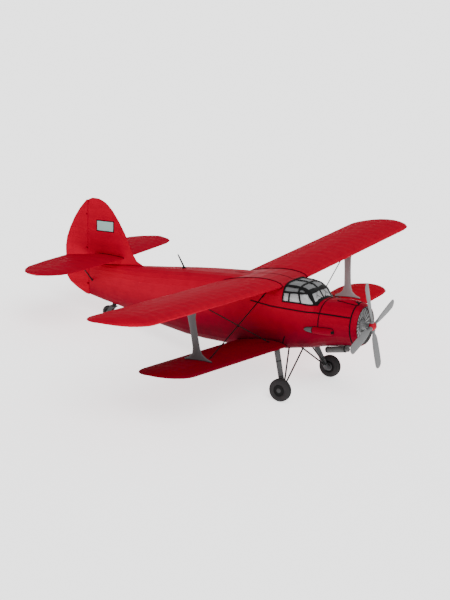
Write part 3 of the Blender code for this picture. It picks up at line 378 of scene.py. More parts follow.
@dataclass(frozen=True)
class SkinPaint(Finish):
    """Gloss paint on sheet metal, with painted shade that darkens it toward the keel and the nose, road stains below
    and slack between frames.
    """

    # Painted shade: the red darkens below the first height range and ahead of the station range, standing in for shade
    # on the belly and the nose.
    keel: Pair = (-0.95, 0.55)
    keel_share: float = 0.88
    nose: Pair = (0.8, 5.2)
    nose_share: float = 0.30
    stain: Colour = (0.05, 0.012, 0.012)
    stain_share: float = 0.35
    stain_reach: Pair = (-1.2, -0.2)
    frame_pitch: float = 0.62
    slack: float = 0.0012
    waves: float = 0.004

    def tone(self, graph: Graph) -> bpy.types.NodeSocket:
        """Red darkened toward the keel and the nose by painted shade, with faint stain streaks that run aft.

        Args:
            graph: The material's nodes.

        Returns:
            The colour's socket.
        """
        # Painted shade: darker toward the keel.
        depth = 1.0 - graph.z.steps(*self.keel)
        faded = graph.noise(self.cloud, 5.0).steps(0.35, 0.8) * self.mottle * 0.5
        base = graph.mix(depth * self.keel_share + faded, self.colour, self.shade)
        streaks = graph.noise(5.0, 4.0, (1.0, 0.12, 1.0)).steps(0.55, 0.85)
        streaks = streaks * (1.0 - graph.z.steps(*self.stain_reach))
        # Painted shade: darker toward the nose.
        shaded = graph.mix((1.0 - graph.y.steps(*self.nose)) * self.nose_share, base, self.shade)
        return graph.mix(streaks * self.stain_share, shaded, self.stain)

    def relief(self, graph: Graph) -> Value:
        """Fine orange peel over sheet that sinks slightly between frames."""
        frames = (graph.y * (math.tau / self.frame_pitch)).cosine() * self.slack
        return frames + graph.noise(2.2, 2.0) * self.waves + graph.noise(self.grain, 2.0) * self.depth


@dataclass(frozen=True)
class DopedFabric(Finish):
    """Doped cloth drawn over ribs: it sags between them and shows its weave close up."""

    rib_axis: Axis = Axis.SPAN
    pitch: float = 0.42
    bay_share: float = 0.10
    sag: float = 0.0022
    brush: float = 0.0009

    def ribs(self, graph: Graph) -> Value:
        """A wave that is one on each rib and minus one between two."""
        along = (graph.x, graph.y, graph.z)[self.rib_axis.value]
        return (along * (math.tau / self.pitch)).cosine()

    def tone(self, graph: Graph) -> bpy.types.NodeSocket:
        """Red with a slightly deeper tone between the ribs.

        Args:
            graph: The material's nodes.

        Returns:
            The colour's socket.
        """
        between = (1.0 - self.ribs(graph)) * 0.5
        faded = graph.noise(self.cloud, 5.0).steps(0.35, 0.8) * self.mottle
        return graph.mix(between * self.bay_share + faded * 0.5, self.colour, self.shade)

    def relief(self, graph: Graph) -> Value:
        """Sag between ribs, brush marks of the dope, and the cloth's weave.

        Args:
            graph: The material's nodes.

        Returns:
            The height in metres.
        """
        sag = self.ribs(graph) * self.sag
        brushed = graph.noise(26.0, 3.0, (1.0, 0.2, 1.0)) * self.brush
        return sag + brushed + graph.noise(self.grain, 2.0) * self.depth


@dataclass(frozen=True)
class GearPaint(Finish):
    """Strut paint, with the slim braces beside the leg in black."""

    brace: Colour = (0.004, 0.004, 0.004)
    reach: float = 0.115
    foot: float = -1.98

    def tone(self, graph: Graph) -> bpy.types.NodeSocket:
        """Grey near the leg's own axis and at its foot, and black further off.

        Args:
            graph: The material's nodes.

        Returns:
            The colour's socket.
        """
        run = LEG_TOP - LEG_KNEE
        share = (graph.z - LEG_KNEE.z) / run.z
        aside = [part - (start + share * step) for part, start, step in (
            (abs(graph.x), LEG_KNEE.x, run.x), (graph.y, LEG_KNEE.y, run.y))]
        away = (aside[0] * aside[0] + aside[1] * aside[1]).root()
        plain = Finish.tone(self, graph)
        return graph.mix((away > self.reach) * (graph.z > self.foot), plain, self.brace)


@dataclass(frozen=True)
class Glazing(Finish):
    """Canopy panes: pale below the belt, smoked above it, each seen through but with a haze of its own."""

    roof: Colour = (0.165, 0.168, 0.172)
    sides: Pair = (0.62, 1.0)
    belt: Pair = (0.975, 1.005)
    opacity: float = 0.80

    def tone(self, graph: Graph) -> bpy.types.NodeSocket:
        """Pale grey that lightens toward the sill, and dark grey over the belt."""
        low = graph.mix(graph.z.steps(*self.sides), self.colour, self.shade)
        return graph.mix(graph.z.steps(*self.belt), low, self.roof)

    def finish_off(self, graph: Graph) -> None:
        """Let the inside show faintly."""
        graph.shader.inputs["Alpha"].default_value = self.opacity


@dataclass(frozen=True)
class BrushedAlloy(Finish):
    """Bare or thinly painted alloy with fine marks along one axis."""

    stretch: Place = (1.0, 0.06, 1.0)

    def relief(self, graph: Graph) -> Value:
        """Drawn-out scratches."""
        return graph.noise(self.grain, 3.0, self.stretch) * self.depth


@dataclass(frozen=True)
class ShutterAlloy(BrushedAlloy):
    """Cooling shutters: pale slats, with painted shade behind their front faces for the dark gaps between them."""

    slat: Pair = (0.884, 0.896)
    ring: Pair = (0.245, 0.525)
    gap: Colour = (0.070, 0.070, 0.070)

    def tone(self, graph: Graph) -> bpy.types.NodeSocket:
        """The alloy's tone on the slats, and painted shade on the surfaces behind them.

        Args:
            graph: The material's nodes.

        Returns:
            The colour's socket.
        """
        out = graph.from_shaft()
        # Painted shade: dark grey on the shutter surfaces behind the slats' front, inside the ring.
        behind = graph.y.steps(*self.slat) * (out > self.ring[0]) * (out < self.ring[1])
        return graph.mix(behind, super().tone(graph), self.gap)


@dataclass(frozen=True)
class SpinnerPaint(Finish):
    """Red on the spinner, and alloy on the hub and sockets behind it."""

    rear: float = 0.592
    reach: float = 0.146
    alloy: Colour = (0.125, 0.125, 0.127)

    def tone(self, graph: Graph) -> bpy.types.NodeSocket:
        """Red within the ball, and the alloy behind and outside it.

        Args:
            graph: The material's nodes.

        Returns:
            The colour's socket.
        """
        out = graph.from_shaft()
        bare = graph.maths("MAXIMUM", graph.y > self.rear, out > self.reach)
        return graph.mix(bare, super().tone(graph), self.alloy)


@dataclass(frozen=True)
class StudioPaint(Finish):
    """The floor's paint, with a glow that keeps it pale without brighter lamps."""

    glow: float = 1.50

    def finish_off(self, graph: Graph) -> None:
        """Add the glow.

        Args:
            graph: The material's nodes.
        """
        inputs = graph.shader.inputs
        inputs["Emission Color"].default_value = (1.0, 1.0, 1.0, 1.0)
        inputs["Emission Strength"].default_value = self.glow


@dataclass(frozen=True)
class SeatCloth(Finish):
    """Upholstery cloth with a woven grid."""

    threads: float = 1400.0
    weave: float = 0.0003

    def relief(self, graph: Graph) -> Value:
        """Warp and weft.

        Args:
            graph: The material's nodes.

        Returns:
            The height in metres.
        """
        warp = (graph.x * self.threads).cosine()
        weft = (graph.z * self.threads).cosine()
        return warp * weft * self.weave + graph.noise(self.grain, 2.0) * self.depth


PAINT_RED, DEEP_RED = (0.400, 0.0004, 0.0170), (0.130, 0.0010, 0.0090)
# Its shade colour is also the painted shade toward the keel and the nose.
RED_SKIN = SkinPaint("red_gloss_paint", "red_paint", (0.360, 0.0004, 0.0160), (0.052, 0.0008, 0.0060), 0.42,
                    specular=0.022)
SPINNER = SpinnerPaint("spinner_paint", "red_paint", (0.360, 0.0004, 0.0160), (0.250, 0.0004, 0.0110), 0.35,
                       specular=0.15)
RED_WINGS = DopedFabric("red_doped_wing", "red_fabric", PAINT_RED, DEEP_RED, 0.60, specular=0.012)
# Painted shade: a darker copy of the wing red for the starboard lower wing and flap, standing in for the upper wing's
# shadow.
RED_SHADED_LOW_WING = DopedFabric("red_doped_low_wing", "red_fabric", (0.140, 0.0005, 0.0080), (0.070, 0.0005, 0.0050), 0.60,
                      specular=0.012)
RED_FIN = DopedFabric("red_doped_fin", "red_fabric", PAINT_RED, DEEP_RED, 0.60, specular=0.012,
                      rib_axis=Axis.HEIGHT, pitch=0.34)
RED_TAIL = DopedFabric("red_doped_tail", "red_fabric", (0.350, 0.0006, 0.0160), DEEP_RED, 0.60, specular=0.012)
GEAR_GREY = GearPaint("grey_gear_paint", "grey_paint", (0.074, 0.074, 0.076), (0.050, 0.050, 0.051), 0.50,
                      specular=0.05)
STRUT_GREY = Finish("grey_strut_paint", "grey_paint", (0.070, 0.070, 0.071), (0.050, 0.050, 0.051), 0.50,
                    specular=0.2)
# Painted light: a lighter copy of the strut grey for the port strut, which stands in shade.
STRUT_PAINTED_LIGHT = Finish("pale_strut_paint", "grey_paint", (0.270, 0.270, 0.272), (0.200, 0.200, 0.201), 0.50,
                    specular=0.2)
EXHAUST_GREY = Finish("heat_stained_pipe", "grey_paint", (0.074, 0.073, 0.072), (0.036, 0.030, 0.027), 0.52, 0.3,
                      mottle=0.6, cloud=6.0, specular=0.2)
CAP_GREY = BrushedAlloy("wheel_cap_alloy", "grey_paint", (0.044, 0.044, 0.045), (0.031, 0.031, 0.031), 0.45,
                        specular=0.1)
HUB_GREY = Finish("dark_hub_paint", "grey_paint", (0.011, 0.011, 0.011), (0.006, 0.006, 0.006), 0.60,
                  specular=0.03)
STAY_BLACK = Finish("black_stay_steel", "grey_paint", (0.005, 0.005, 0.005), (0.010, 0.010, 0.010), 0.45,
                    specular=0.03)
FRAME_BLACK = Finish("black_frame_paint", "black_paint", (0.006, 0.006, 0.006), (0.012, 0.012, 0.012), 0.42,
                     specular=0.06)
SEAL_BLACK = Finish("black_seal", "black_paint", (0.006, 0.003, 0.004), (0.012, 0.006, 0.007), 0.66, specular=0.02)
SHUTTER_GREY = ShutterAlloy("shutter_alloy", "shutter_grey", (0.220, 0.220, 0.220), (0.165, 0.165, 0.165), 0.50,
                            stretch=(1.0, 1.0, 0.1))
LIP_GREY = BrushedAlloy("cowl_lip_alloy", "shutter_grey", (0.105, 0.105, 0.105), (0.070, 0.070, 0.070), 0.48,
                        specular=0.15)
BLADE_GREY = BrushedAlloy("blade_alloy", "blade_grey", (0.142, 0.142, 0.144), (0.106, 0.106, 0.108), 0.46,
                          specular=0.15)
IRON = Finish("dull_iron", "engine_iron", (0.060, 0.060, 0.064), (0.100, 0.092, 0.084), 0.55, 0.7)
CASE_GREY = Finish("gear_case_paint", "engine_iron", (0.140, 0.140, 0.142), (0.090, 0.090, 0.092), 0.50)
STEEL = BrushedAlloy("bright_steel", "grey_paint", (0.420, 0.420, 0.430), (0.280, 0.280, 0.290), 0.34, 0.9)
PANE = Glazing("canopy_panes", "canopy_glass", (0.560, 0.560, 0.565), (0.330, 0.340, 0.345), 0.10, grain=4.0,
               depth=0.0006)
RUBBER = Finish("black_rubber", "tyre_rubber", (0.0260, 0.0248, 0.0256), (0.0380, 0.0362, 0.0362), 0.85,
                mottle=0.5, specular=0.02)
LINING = Finish("cabin_lining_paint", "cabin_lining", (0.270, 0.280, 0.280), (0.180, 0.185, 0.185), 0.62)
PANEL = Finish("instrument_black", "panel_black", (0.014, 0.014, 0.015), (0.028, 0.028, 0.030), 0.60)
CLOTH = SeatCloth("seat_weave", "seat_cloth", (0.090, 0.092, 0.100), (0.050, 0.050, 0.056), 0.90)
PIPING = SeatCloth("seat_piping", "seat_cloth", (0.030, 0.030, 0.034), (0.018, 0.018, 0.020), 0.80)
# Real soot in the exhaust's end; on the scoop and side duct fronts the same black is painted shadow of an opening.
SOOT_AND_SHADOW = Finish("soot_black", "engine_iron", (0.006, 0.006, 0.006), (0.014, 0.012, 0.011), 0.85, specular=0.05)
DIAL = Finish("dial_face", "panel_black", (0.550, 0.550, 0.520), (0.350, 0.350, 0.330), 0.40)
PLATE = Finish("pale_teal_enamel", "grey_paint", (0.270, 0.440, 0.410), (0.210, 0.370, 0.345), 0.45, mottle=0.4)
FLOOR = StudioPaint("studio_floor", "", (0.930, 0.930, 0.930), (0.900, 0.900, 0.900), 0.95, mottle=0.5, cloud=0.05,
                    specular=0.0)


def drum(bm: BMesh, start: Vector, end: Vector, radius: float, end_radius: float | None = None,
         sides: int = 16) -> None:
    """Add a round bar or cone.

    Args:
        bm: The mesh to add to.
        start: One end's centre.
        end: The other end's centre.
        radius: The radius at the start.
        end_radius: The radius at the end, if it differs.
        sides: Facets round it.
    """
    run = end - start
    seat = Matrix.Translation((start + end) / 2) @ run.to_track_quat("Z", "Y").to_matrix().to_4x4()
    bmesh.ops.create_cone(bm, cap_ends=True, segments=sides, radius1=radius,
                          radius2=radius if end_radius is None else end_radius, depth=run.length, matrix=seat)


def block(bm: BMesh, seat: Matrix, size: Place, edge: float = 0.0) -> None:
    """Add a box with bevelled edges.

    Args:
        bm: The mesh to add to.
        seat: Where its middle sits and how it is turned.
        size: Its three lengths.
        edge: The bevel's width.
    """
    made = bmesh.ops.create_cube(bm, size=1.0, matrix=seat @ Matrix.Diagonal((*size, 1.0)))
    if edge:
        edges = {line for vert in made["verts"] for line in vert.link_edges}
        bmesh.ops.bevel(bm, geom=list(edges), offset=edge, segments=2, profile=0.5, affect="EDGES", material=-1)


def turn_profile(bm: BMesh, profile: Sequence[Pair], centre: Vector, axis: Vector, out: Vector,
                 steps: int = 48) -> None:
    """Spin an outline of (along, radius) pairs into a closed ring or a capped form.

    Args:
        bm: The mesh to add to.
        profile: The outline; one that starts and ends on the axis closes there.
        centre: The point it is measured from.
        axis: The axis it turns about.
        out: A direction square to the axis.
        steps: Facets round it.
    """
    verts = [bm.verts.new(centre + axis * along + out * radius) for along, radius in profile]
    edges = [bm.edges.new(pair) for pair in zip(verts, verts[1:])]
    if profile[0][1] > 0.0:
        edges.append(bm.edges.new((verts[-1], verts[0])))
    bmesh.ops.spin(bm, geom=verts + edges, cent=centre, axis=axis, angle=math.tau, steps=steps, use_merge=True)
    bmesh.ops.remove_doubles(bm, verts=bm.verts, dist=MERGE)
    bmesh.ops.dissolve_degenerate(bm, edges=bm.edges, dist=MERGE)


def torus(bm: BMesh, centre: Vector, axis: Vector, radius: float, tube: float, steps: int = 40,
          sides: int = 8) -> None:
    """Add a ring of round bar.

    Args:
        bm: The mesh to add to.
        centre: The ring's middle.
        axis: The axis it goes round.
        radius: The radius to the bar's middle.
        tube: The bar's own radius.
        steps: Facets round the ring.
        sides: Facets round the bar.
    """
    out = axis.orthogonal().normalized()
    profile = [(tube * math.cos(math.tau * step / sides), radius + tube * math.sin(math.tau * step / sides))
               for step in range(sides)]
    turn_profile(bm, profile, centre, axis, out, steps)


def sweep(bm: BMesh, points: Sequence[Vector], radius: float, sides: int = 8) -> None:
    """Draw a round bar along a path by extruding a circle from point to point.

    Args:
        bm: The mesh to add to.
        points: The path.
        radius: The bar's radius.
        sides: Facets round it.
    """
    runs = [(after - before).normalized() for before, after in zip(points, points[1:])]
    heads = [runs[0], *[(one + two).normalized() for one, two in zip(runs, runs[1:])], runs[-1]]
    turn = heads[0].to_track_quat("Z", "Y")
    seat = Matrix.Translation(points[0]) @ turn.to_matrix().to_4x4()
    ring = bmesh.ops.create_circle(bm, cap_ends=True, segments=sides, radius=radius, matrix=seat)["verts"]
    face = ring[0].link_faces[0]
    for here, there, head, next_head in zip(points, points[1:], heads, heads[1:]):
        step = bmesh.ops.extrude_face_region(bm, geom=[face])
        bmesh.ops.delete(bm, geom=[face], context="FACES_ONLY")
        verts = [item for item in step["geom"] if isinstance(item, bmesh.types.BMVert)]
        face = next(item for item in step["geom"] if isinstance(item, BMFace))
        swing = head.rotation_difference(next_head).to_matrix()
        bmesh.ops.rotate(bm, verts=verts, cent=here, matrix=swing)
        bmesh.ops.translate(bm, verts=verts, vec=there - here)
    bmesh.ops.contextual_create(bm, geom=[edge for edge in bm.edges if edge.is_boundary])


def stud(bm: BMesh, point: Vector, out: Vector, radius: float, height: float, sides: int = 6) -> None:
    """Add a low rivet or bolt head on a surface."""
    drum(bm, point - out * height * STUD_SINK, point + out * height, radius, radius * STUD_TAPER, sides)


def beside(place: Place, across: float) -> Place:
    """A level place moved along the span."""
    return (place[0] + across, place[1], place[2])


@dataclass(frozen=True)
class Patch:
    """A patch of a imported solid's skin that becomes a piece of its own."""

    name: str
    node: str
    spans: tuple[tuple[Place, float, float], ...]
    finish: Finish
    lift: float = 0.003
    thick: float = 0.006
    body: str = ROOT


@dataclass
class Bench:
    """Where pieces are made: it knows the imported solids, the level frame and the finishes."""

    frame: dict
    level: Level
    look_from: float = 2.0
    facing: float = 0.2

    def piece(self, name: str, bm: BMesh, finish: Finish, body: str = ROOT, sharp: float = 35.0) -> bpy.types.Object:
        """Turn a mesh into a finished piece on its body.

        Args:
            name: The piece's name.
            bm: Its mesh, in the row frame; it is freed.
            finish: Its finish.
            body: The body it rides on.
            sharp: The angle in degrees over which an edge stays sharp.

        Returns:
            The object.
        """
        bmesh.ops.recalc_face_normals(bm, faces=bm.faces)
        mesh = bpy.data.meshes.new(name)
        bm.to_mesh(mesh)
        bm.free()
        mesh.shade_smooth()
        mesh.set_sharp_from_angle(angle=math.radians(sharp))
        mesh.materials.append(finish.build(self.level))
        made = bpy.data.objects.new(name, mesh)
        bpy.context.scene.collection.objects.link(made)
        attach(made, body)
        LOG.info("%s: %d faces on %s", name, len(mesh.polygons), body)
        return made

    def dress(self, finish: Finish, *nodes: str) -> None:
        """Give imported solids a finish.

        Args:
            finish: The finish.
            *nodes: The solids' names.
        """
        for name in nodes:
            mesh = self.frame["nodes"][name].data
            mesh.materials.clear()
            mesh.materials.append(finish.build(self.level))

    def copy(self, *nodes: str) -> BMesh:
        """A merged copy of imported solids.

        Args:
            *nodes: The solids' names.

        Returns:
            The copy, in the row frame.
        """
        bm = bmesh.new()
        for name in nodes:
            bm.from_mesh(self.frame["nodes"][name].data)
        bmesh.ops.remove_doubles(bm, verts=bm.verts, dist=MERGE)
        return bm

    def lathe(self, bm: BMesh, profile: Sequence[Pair], centre: Place, axis: Place, steps: int = 48) -> None:
        """Spin an outline of (along, radius) pairs about a level axis through a level place."""
        along = self.level.along(*axis)
        turn_profile(bm, profile, self.level.at(*centre), along, along.orthogonal().normalized(), steps)

    def hoop(self, bm: BMesh, centre: Place, axis: Place, radius: float, tube: float, steps: int) -> None:
        """Add a ring of round bar about a level axis through a level place."""
        torus(bm, self.level.at(*centre), self.level.along(*axis), radius, tube, steps)

    def bar(self, bm: BMesh, start: Place, end: Place, radius: float, end_radius: float | None = None,
            sides: int = 16) -> None:
        """Add a round bar between two level places."""
        drum(bm, self.level.at(*start), self.level.at(*end), radius, end_radius, sides)

    def pipe(self, bm: BMesh, places: Sequence[Place], radius: float, sides: int = 8) -> None:
        """Draw a round bar along level places."""
        sweep(bm, [self.level.at(*place) for place in places], radius, sides)

    def brick(self, bm: BMesh, place: Place, size: Place, edge: float = 0.004, turn: Matrix | None = None) -> None:
        """Add a bevelled box about a level place, turned there if asked."""
        seat = self.level.matrix @ Matrix.Translation(place)
        block(bm, seat if turn is None else seat @ turn, size, edge)

    def bolts(self, bm: BMesh, centre: Place, axis: Place, ring: float, count: int, radius: float,
              height: float) -> None:
        """Add a ring of bolt heads round a level axis; they point along it.

        Args:
            bm: The mesh to add to.
            centre: The ring's level middle.
            axis: The level way that the heads point.
            ring: The ring's radius.
            count: How many bolts it has.
            radius: Each head's radius.
            height: Each head's height.
        """
        out = self.level.along(*axis)
        arm = out.orthogonal().normalized() * ring
        for number in range(count):
            turn = Matrix.Rotation(math.tau * (number + 0.5) / count, 3, out)
            stud(bm, self.level.at(*centre) + turn @ arm, out, radius, height)

    def contact(self, node: str, neighbours: Sequence[str], reach: float = 0.0015) -> list[list[Vector]]:
        """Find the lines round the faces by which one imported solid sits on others.

        Args:
            node: The solid that sits.
            neighbours: What it sits on.
            reach: How near a face is that touches.

        Returns:
            The lines, each as places in the row frame.
        """
        carrier = self.surface(*neighbours)
        bm = self.copy(node)
        bm.edges.index_update()
        seats = {face for face in bm.faces
                 if carrier.find_nearest(face.calc_center_median(), reach)[0] is not None}
        edges = {edge for edge in bm.edges if len(set(edge.link_faces) & seats) == 1}
        lines = []
        while edges:
            first = min(edges, key=lambda edge: edge.index)
            edges.discard(first)
            line = list(first.verts)
            while onward := [edge for edge in line[-1].link_edges if edge in edges]:
                nearest = min(onward, key=lambda edge: edge.index)
                edges.discard(nearest)
                line.append(nearest.other_vert(line[-1]))
            lines.append([vert.co.copy() for vert in line])
        bm.free()
        return lines

    def touch(self, tree: BVHTree, y: float, turn: float) -> tuple[Vector, Vector] | None:
        """Find the hull's skin at a station and an angle.

        Args:
            tree: The skin.
            y: The station.
            turn: The angle about the hull's middle, from port upward.

        Returns:
            The place and the way it faces, or nothing where the skin looks away.
        """
        out = self.level.along(math.cos(turn), 0.0, math.sin(turn))
        point, normal, _, _ = tree.ray_cast(self.level.at(0.0, y, HULL_Z) + out * self.look_from, -out)
        return (point, normal) if point is not None and normal.dot(out) > self.facing else None

    def surface(self, *nodes: str) -> BVHTree:
        """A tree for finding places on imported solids.

        Args:
            *nodes: The solids' names.

        Returns:
            The tree.
        """
        bm = self.copy(*nodes)
        tree = BVHTree.FromBMesh(bm)
        bm.free()
        return tree

    def band(self, nodes: Sequence[str], cuts: Sequence[Cut], lift: float, thick: float,
             keep: Callable[[BMFace], bool] | None = None) -> BMesh:
        """Cut a patch out of the solids' own skin, raise it and give it a thickness.

        Args:
            nodes: The solids whose skin is used.
            cuts: Planes as a point and a normal; what lies on a normal's side is cut off.
            lift: How far the patch stands off the skin.
            thick: The patch's thickness, down into the skin.
            keep: Says which of the skin's faces may stay.

        Returns:
            The closed patch.
        """
        bm = self.copy(*nodes)
        if keep is not None:
            gone = [face for face in bm.faces if not keep(face)]
            bmesh.ops.delete(bm, geom=gone, context="FACES")
        for point, normal in cuts:
            bmesh.ops.bisect_plane(bm, geom=[*bm.verts, *bm.edges, *bm.faces], dist=MERGE, plane_co=point,
                                   plane_no=normal, clear_outer=True)
        for vert, normal in [(vert, vert.normal.copy()) for vert in bm.verts]:
            vert.co += normal * lift
        if bm.faces:
            bmesh.ops.solidify(bm, geom=bm.faces[:], thickness=thick)
        return bm

    def raise_patch(self, patch: Patch, keep: Callable[[BMFace], bool] | None = None) -> None:
        """Make the piece that a patch describes, from the faces that may stay."""
        cuts = [plane for span in patch.spans for plane in self.slab(*span)]
        self.piece(patch.name, self.band([patch.node], cuts, patch.lift, patch.thick, keep), patch.finish, patch.body)

    def slab(self, axis: Place, low: float, high: float) -> list[Cut]:
        """Two cuts that keep what lies between two distances along a level axis.

        Args:
            axis: The level axis.
            low: The nearer distance.
            high: The farther distance.

        Returns:
            The cuts.
        """
        across = self.level.along(*axis)
        one = self.level.matrix @ (Vector(axis) * low)
        two = self.level.matrix @ (Vector(axis) * high)
        return [(one, -across), (two, across)]

    def outward(self, face: BMFace) -> bool:
        """Whether a face of a hull-like solid looks away from the aeroplane's middle line.

        Args:
            face: The face.

        Returns:
            Whether it does.
        """
        centre = self.level.read(face.calc_center_median())
        normal = self.level.matrix.to_3x3().inverted() @ face.normal
        return normal.x * centre.x + normal.z * (centre.z - HULL_Z) > 0.0


def join(into: BMesh, part: BMesh) -> None:
    """Add one mesh to another and free it.

    Args:
        into: The mesh that grows.
        part: The mesh that is added.
    """
    carrier = bpy.data.meshes.new("carrier")
    part.to_mesh(carrier)
    part.free()
    into.from_mesh(carrier)
    bpy.data.meshes.remove(carrier)


@dataclass
class Seams:
    """The dark joint strips that run over the metal skin."""

    bench: Bench
    width: float = 0.044
    lift: float = 0.003
    thick: float = 0.006
    cowl_ring: float = 0.96
    firewall: float = 2.062
    arc: Pair = (-4.5, 184.5)
    arc_steps: int = 72
    side_facing: float = 0.25
    side_line: Outline = ((0.97, 0.37), (2.02, 0.40), (3.80, 0.46), (4.58, 0.56))
    gear_line: Outline = ((3.28, -0.50), (3.42, -0.86))

    def line(self, nodes: Sequence[str], places: Sequence[Pair]) -> BMesh:
        """A strip along a run of (Y, Z) places on both sides of the hull.

        Args:
            nodes: The solids that carry it.
            places: The run's corners.

        Returns:
            The strip.
        """
        level = self.bench.level
        whole = bmesh.new()
        for start, end in zip(places, places[1:]):
            run = Vector((0.0, end[0] - start[0], end[1] - start[1])).normalized()
            square = Vector((0.0, -run.z, run.y))
            first, last = level.at(0.0, *start), level.at(0.0, *end)
            ahead, across = level.along(*run), level.along(*square)
            cuts = [(first - across * self.width / 2, -across), (first + across * self.width / 2, across),
                    (first, -ahead), (last, ahead)]
            join(whole, self.bench.band(nodes, cuts, self.lift, self.thick, self.on_side))
        return whole

    def on_side(self, face: BMFace) -> bool:
        """Whether a face belongs to the hull's outer side."""
        return self.bench.outward(face) and abs(face.normal.x) > self.side_facing

    def build(self) -> None:
        """Make the side seams, the ring seams and the short line over each main leg."""
        bench = self.bench
        hull = ("engine_cowl", "nose_section", "cabin_section")
        bench.piece("side_seams", self.line(hull, self.side_line), SEAL_BLACK)
        bench.piece("gear_fairing_lines", self.line(hull[1:], self.gear_line), SEAL_BLACK)
        half = self.width / 2
        ring = bench.band(hull[:1], bench.slab(AFT, self.cowl_ring - half, self.cowl_ring + half), self.lift,
                          self.thick, bench.outward)
        bench.piece("cowl_ring_seam", ring, SEAL_BLACK)
        nose = bench.surface("nose_section")
        low, high = map(math.radians, self.arc)
        found = [bench.touch(nose, self.firewall, low + (high - low) * step / self.arc_steps)
                 for step in range(self.arc_steps + 1)]
        ring = bmesh.new()
        sweep(ring, [place for place, _ in filter(None, found)], half * 0.8, 8)
        bench.piece("firewall_seam", ring, SEAL_BLACK, sharp=ROUND)


@dataclass
class Junctions:
    """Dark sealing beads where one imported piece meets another, and the strip along the spine."""

    bench: Bench
    shortest: float = 0.012
    strip: float = 0.034
    strip_run: Pair = (3.40, 5.72)
    strip_lift: float = 0.003
    strip_thick: float = 0.006
    strip_facing: float = 0.3
    thin: tuple[tuple[str, tuple[str, ...], float], ...] = (
        ("fin", ("tail_cone",), 0.010), ("carburettor_intake", ("engine_cowl", "nose_section"), 0.018),
        ("side_duct", ("engine_cowl", "nose_section"), 0.017), ("exhaust_pipe", ("engine_cowl",), 0.012),
        ("aerial_mast", ("tail_cone",), 0.008), ("tail_wheel_bracket", ("tail_cone",), 0.010),
        ("canopy_frame", ("nose_section", "cabin_section"), 0.010))
    paired: tuple[tuple[str, tuple[str, ...], float], ...] = (
        ("upper_wing", ("cabin_section",), 0.020), ("lower_wing", ("cabin_section", "nose_section"), 0.020),
        ("tailplane", ("fin",), 0.016), ("interplane_strut", ("upper_wing", "lower_wing"), 0.013),
        ("main_gear", ("lower_wing", "nose_section"), 0.010))

    def bead(self, node: str, neighbours: Sequence[str], radius: float) -> None:
        """Lay a bead round each place where a solid sits on its neighbours.

        Args:
            node: The solid that sits.
            neighbours: What it sits on.
            radius: The bead's radius.
        """
        bm = bmesh.new()
        for line in self.bench.contact(node, neighbours):
            places = line[:1]
            for place in line[1:]:
                if (place - places[-1]).length > self.shortest:
                    places.append(place)
            if len(places) > 2:
                sweep(bm, places, radius, 8)
        self.bench.piece(f"{node}_seal", bm, SEAL_BLACK, sharp=ROUND)

    def build(self) -> None:
        """Seal every joint and lay the spine strip."""
        for node, neighbours, radius in self.thin:
            self.bead(node, neighbours, radius)
        for stem, neighbours, radius in self.paired:
            for side in Side:
                mates = [name if name in self.bench.frame["nodes"] else f"{name}_{side.word}" for name in neighbours]
                self.bead(f"{stem}_{side.word}", mates, radius)
        bench = self.bench
        half = self.strip / 2
        spine = bench.band(["cabin_section"], bench.slab(PORT, -half, half) + bench.slab(AFT, *self.strip_run),
                           self.strip_lift, self.strip_thick,
                           lambda face: bench.outward(face) and face.normal.z > self.strip_facing)
        bench.piece("spine_strip", spine, SEAL_BLACK)


@dataclass
class Rivets:
    """Rows of rivets round the frames and along the stringers of the metal hull."""

    bench: Bench
    radius: float = 0.007
    height: float = 0.0022
    pitch: float = 0.075
    hull_radius: float = 0.9
    glazing_sill: float = 0.55
    rows: tuple[tuple[str, str, tuple[float, ...], tuple[float, ...]], ...] = (
        ("cowl_rivets", "engine_cowl", (1.0, 1.98), ()),
        ("nose_rivets", "nose_section", (2.11, 2.70, 3.33), (-0.75,)),
        ("cabin_rivets", "cabin_section", (3.44, 4.20, 5.00, 5.66, 6.86, 7.35), (-0.75, -0.25, 0.62)),
        ("tail_cone_rivets", "tail_cone", (7.45, 8.10, 8.80, 9.50, 10.20, 10.90, 11.60), (-0.75, 0.0, 0.75)))

    def ring(self, bm: BMesh, tree: BVHTree, y: float, high: float) -> None:
        """Rivet one frame's outline.

        Args:
            bm: The mesh to add to.
            tree: The hull's skin.
            y: The frame's station.
            high: The highest level Z that gets rivets.
        """
        count = int(math.tau * self.hull_radius / self.pitch)
        for step in range(count):
            found = self.bench.touch(tree, y, math.tau * (step + 0.5) / count)
            if found and self.bench.level.read(found[0]).z < high:
                stud(bm, *found, self.radius, self.height)

    def stringer(self, bm: BMesh, tree: BVHTree, turn: float, start: float, end: float) -> None:
        """Rivet one fore-and-aft line at an angle round the hull.

        Args:
            bm: The mesh to add to.
            tree: The hull's skin.
            turn: The line's angle, from port upward; its mirror image is riveted too.
            start: The line's front station.
            end: The line's rear station.
        """
        for step in range(int((end - start) / self.pitch)):
            for angle in (turn, math.pi - turn):
                found = self.bench.touch(tree, start + (step + 0.5) * self.pitch, angle)
                if found:
                    stud(bm, *found, self.radius, self.height)

    def build(self) -> None:
        """Rivet the cowl, the nose, the cabin and the tail cone."""
        bench = self.bench
        for name, node, stations, stringers in self.rows:
            tree = bench.surface(node)
            bm = bmesh.new()
            for y in stations:
                self.ring(bm, tree, y, self.glazing_sill if node == "nose_section" else math.inf)
            for turn in stringers:
                self.stringer(bm, tree, turn, stations[0], stations[-1])
            bench.piece(name, bm, RED_SKIN)


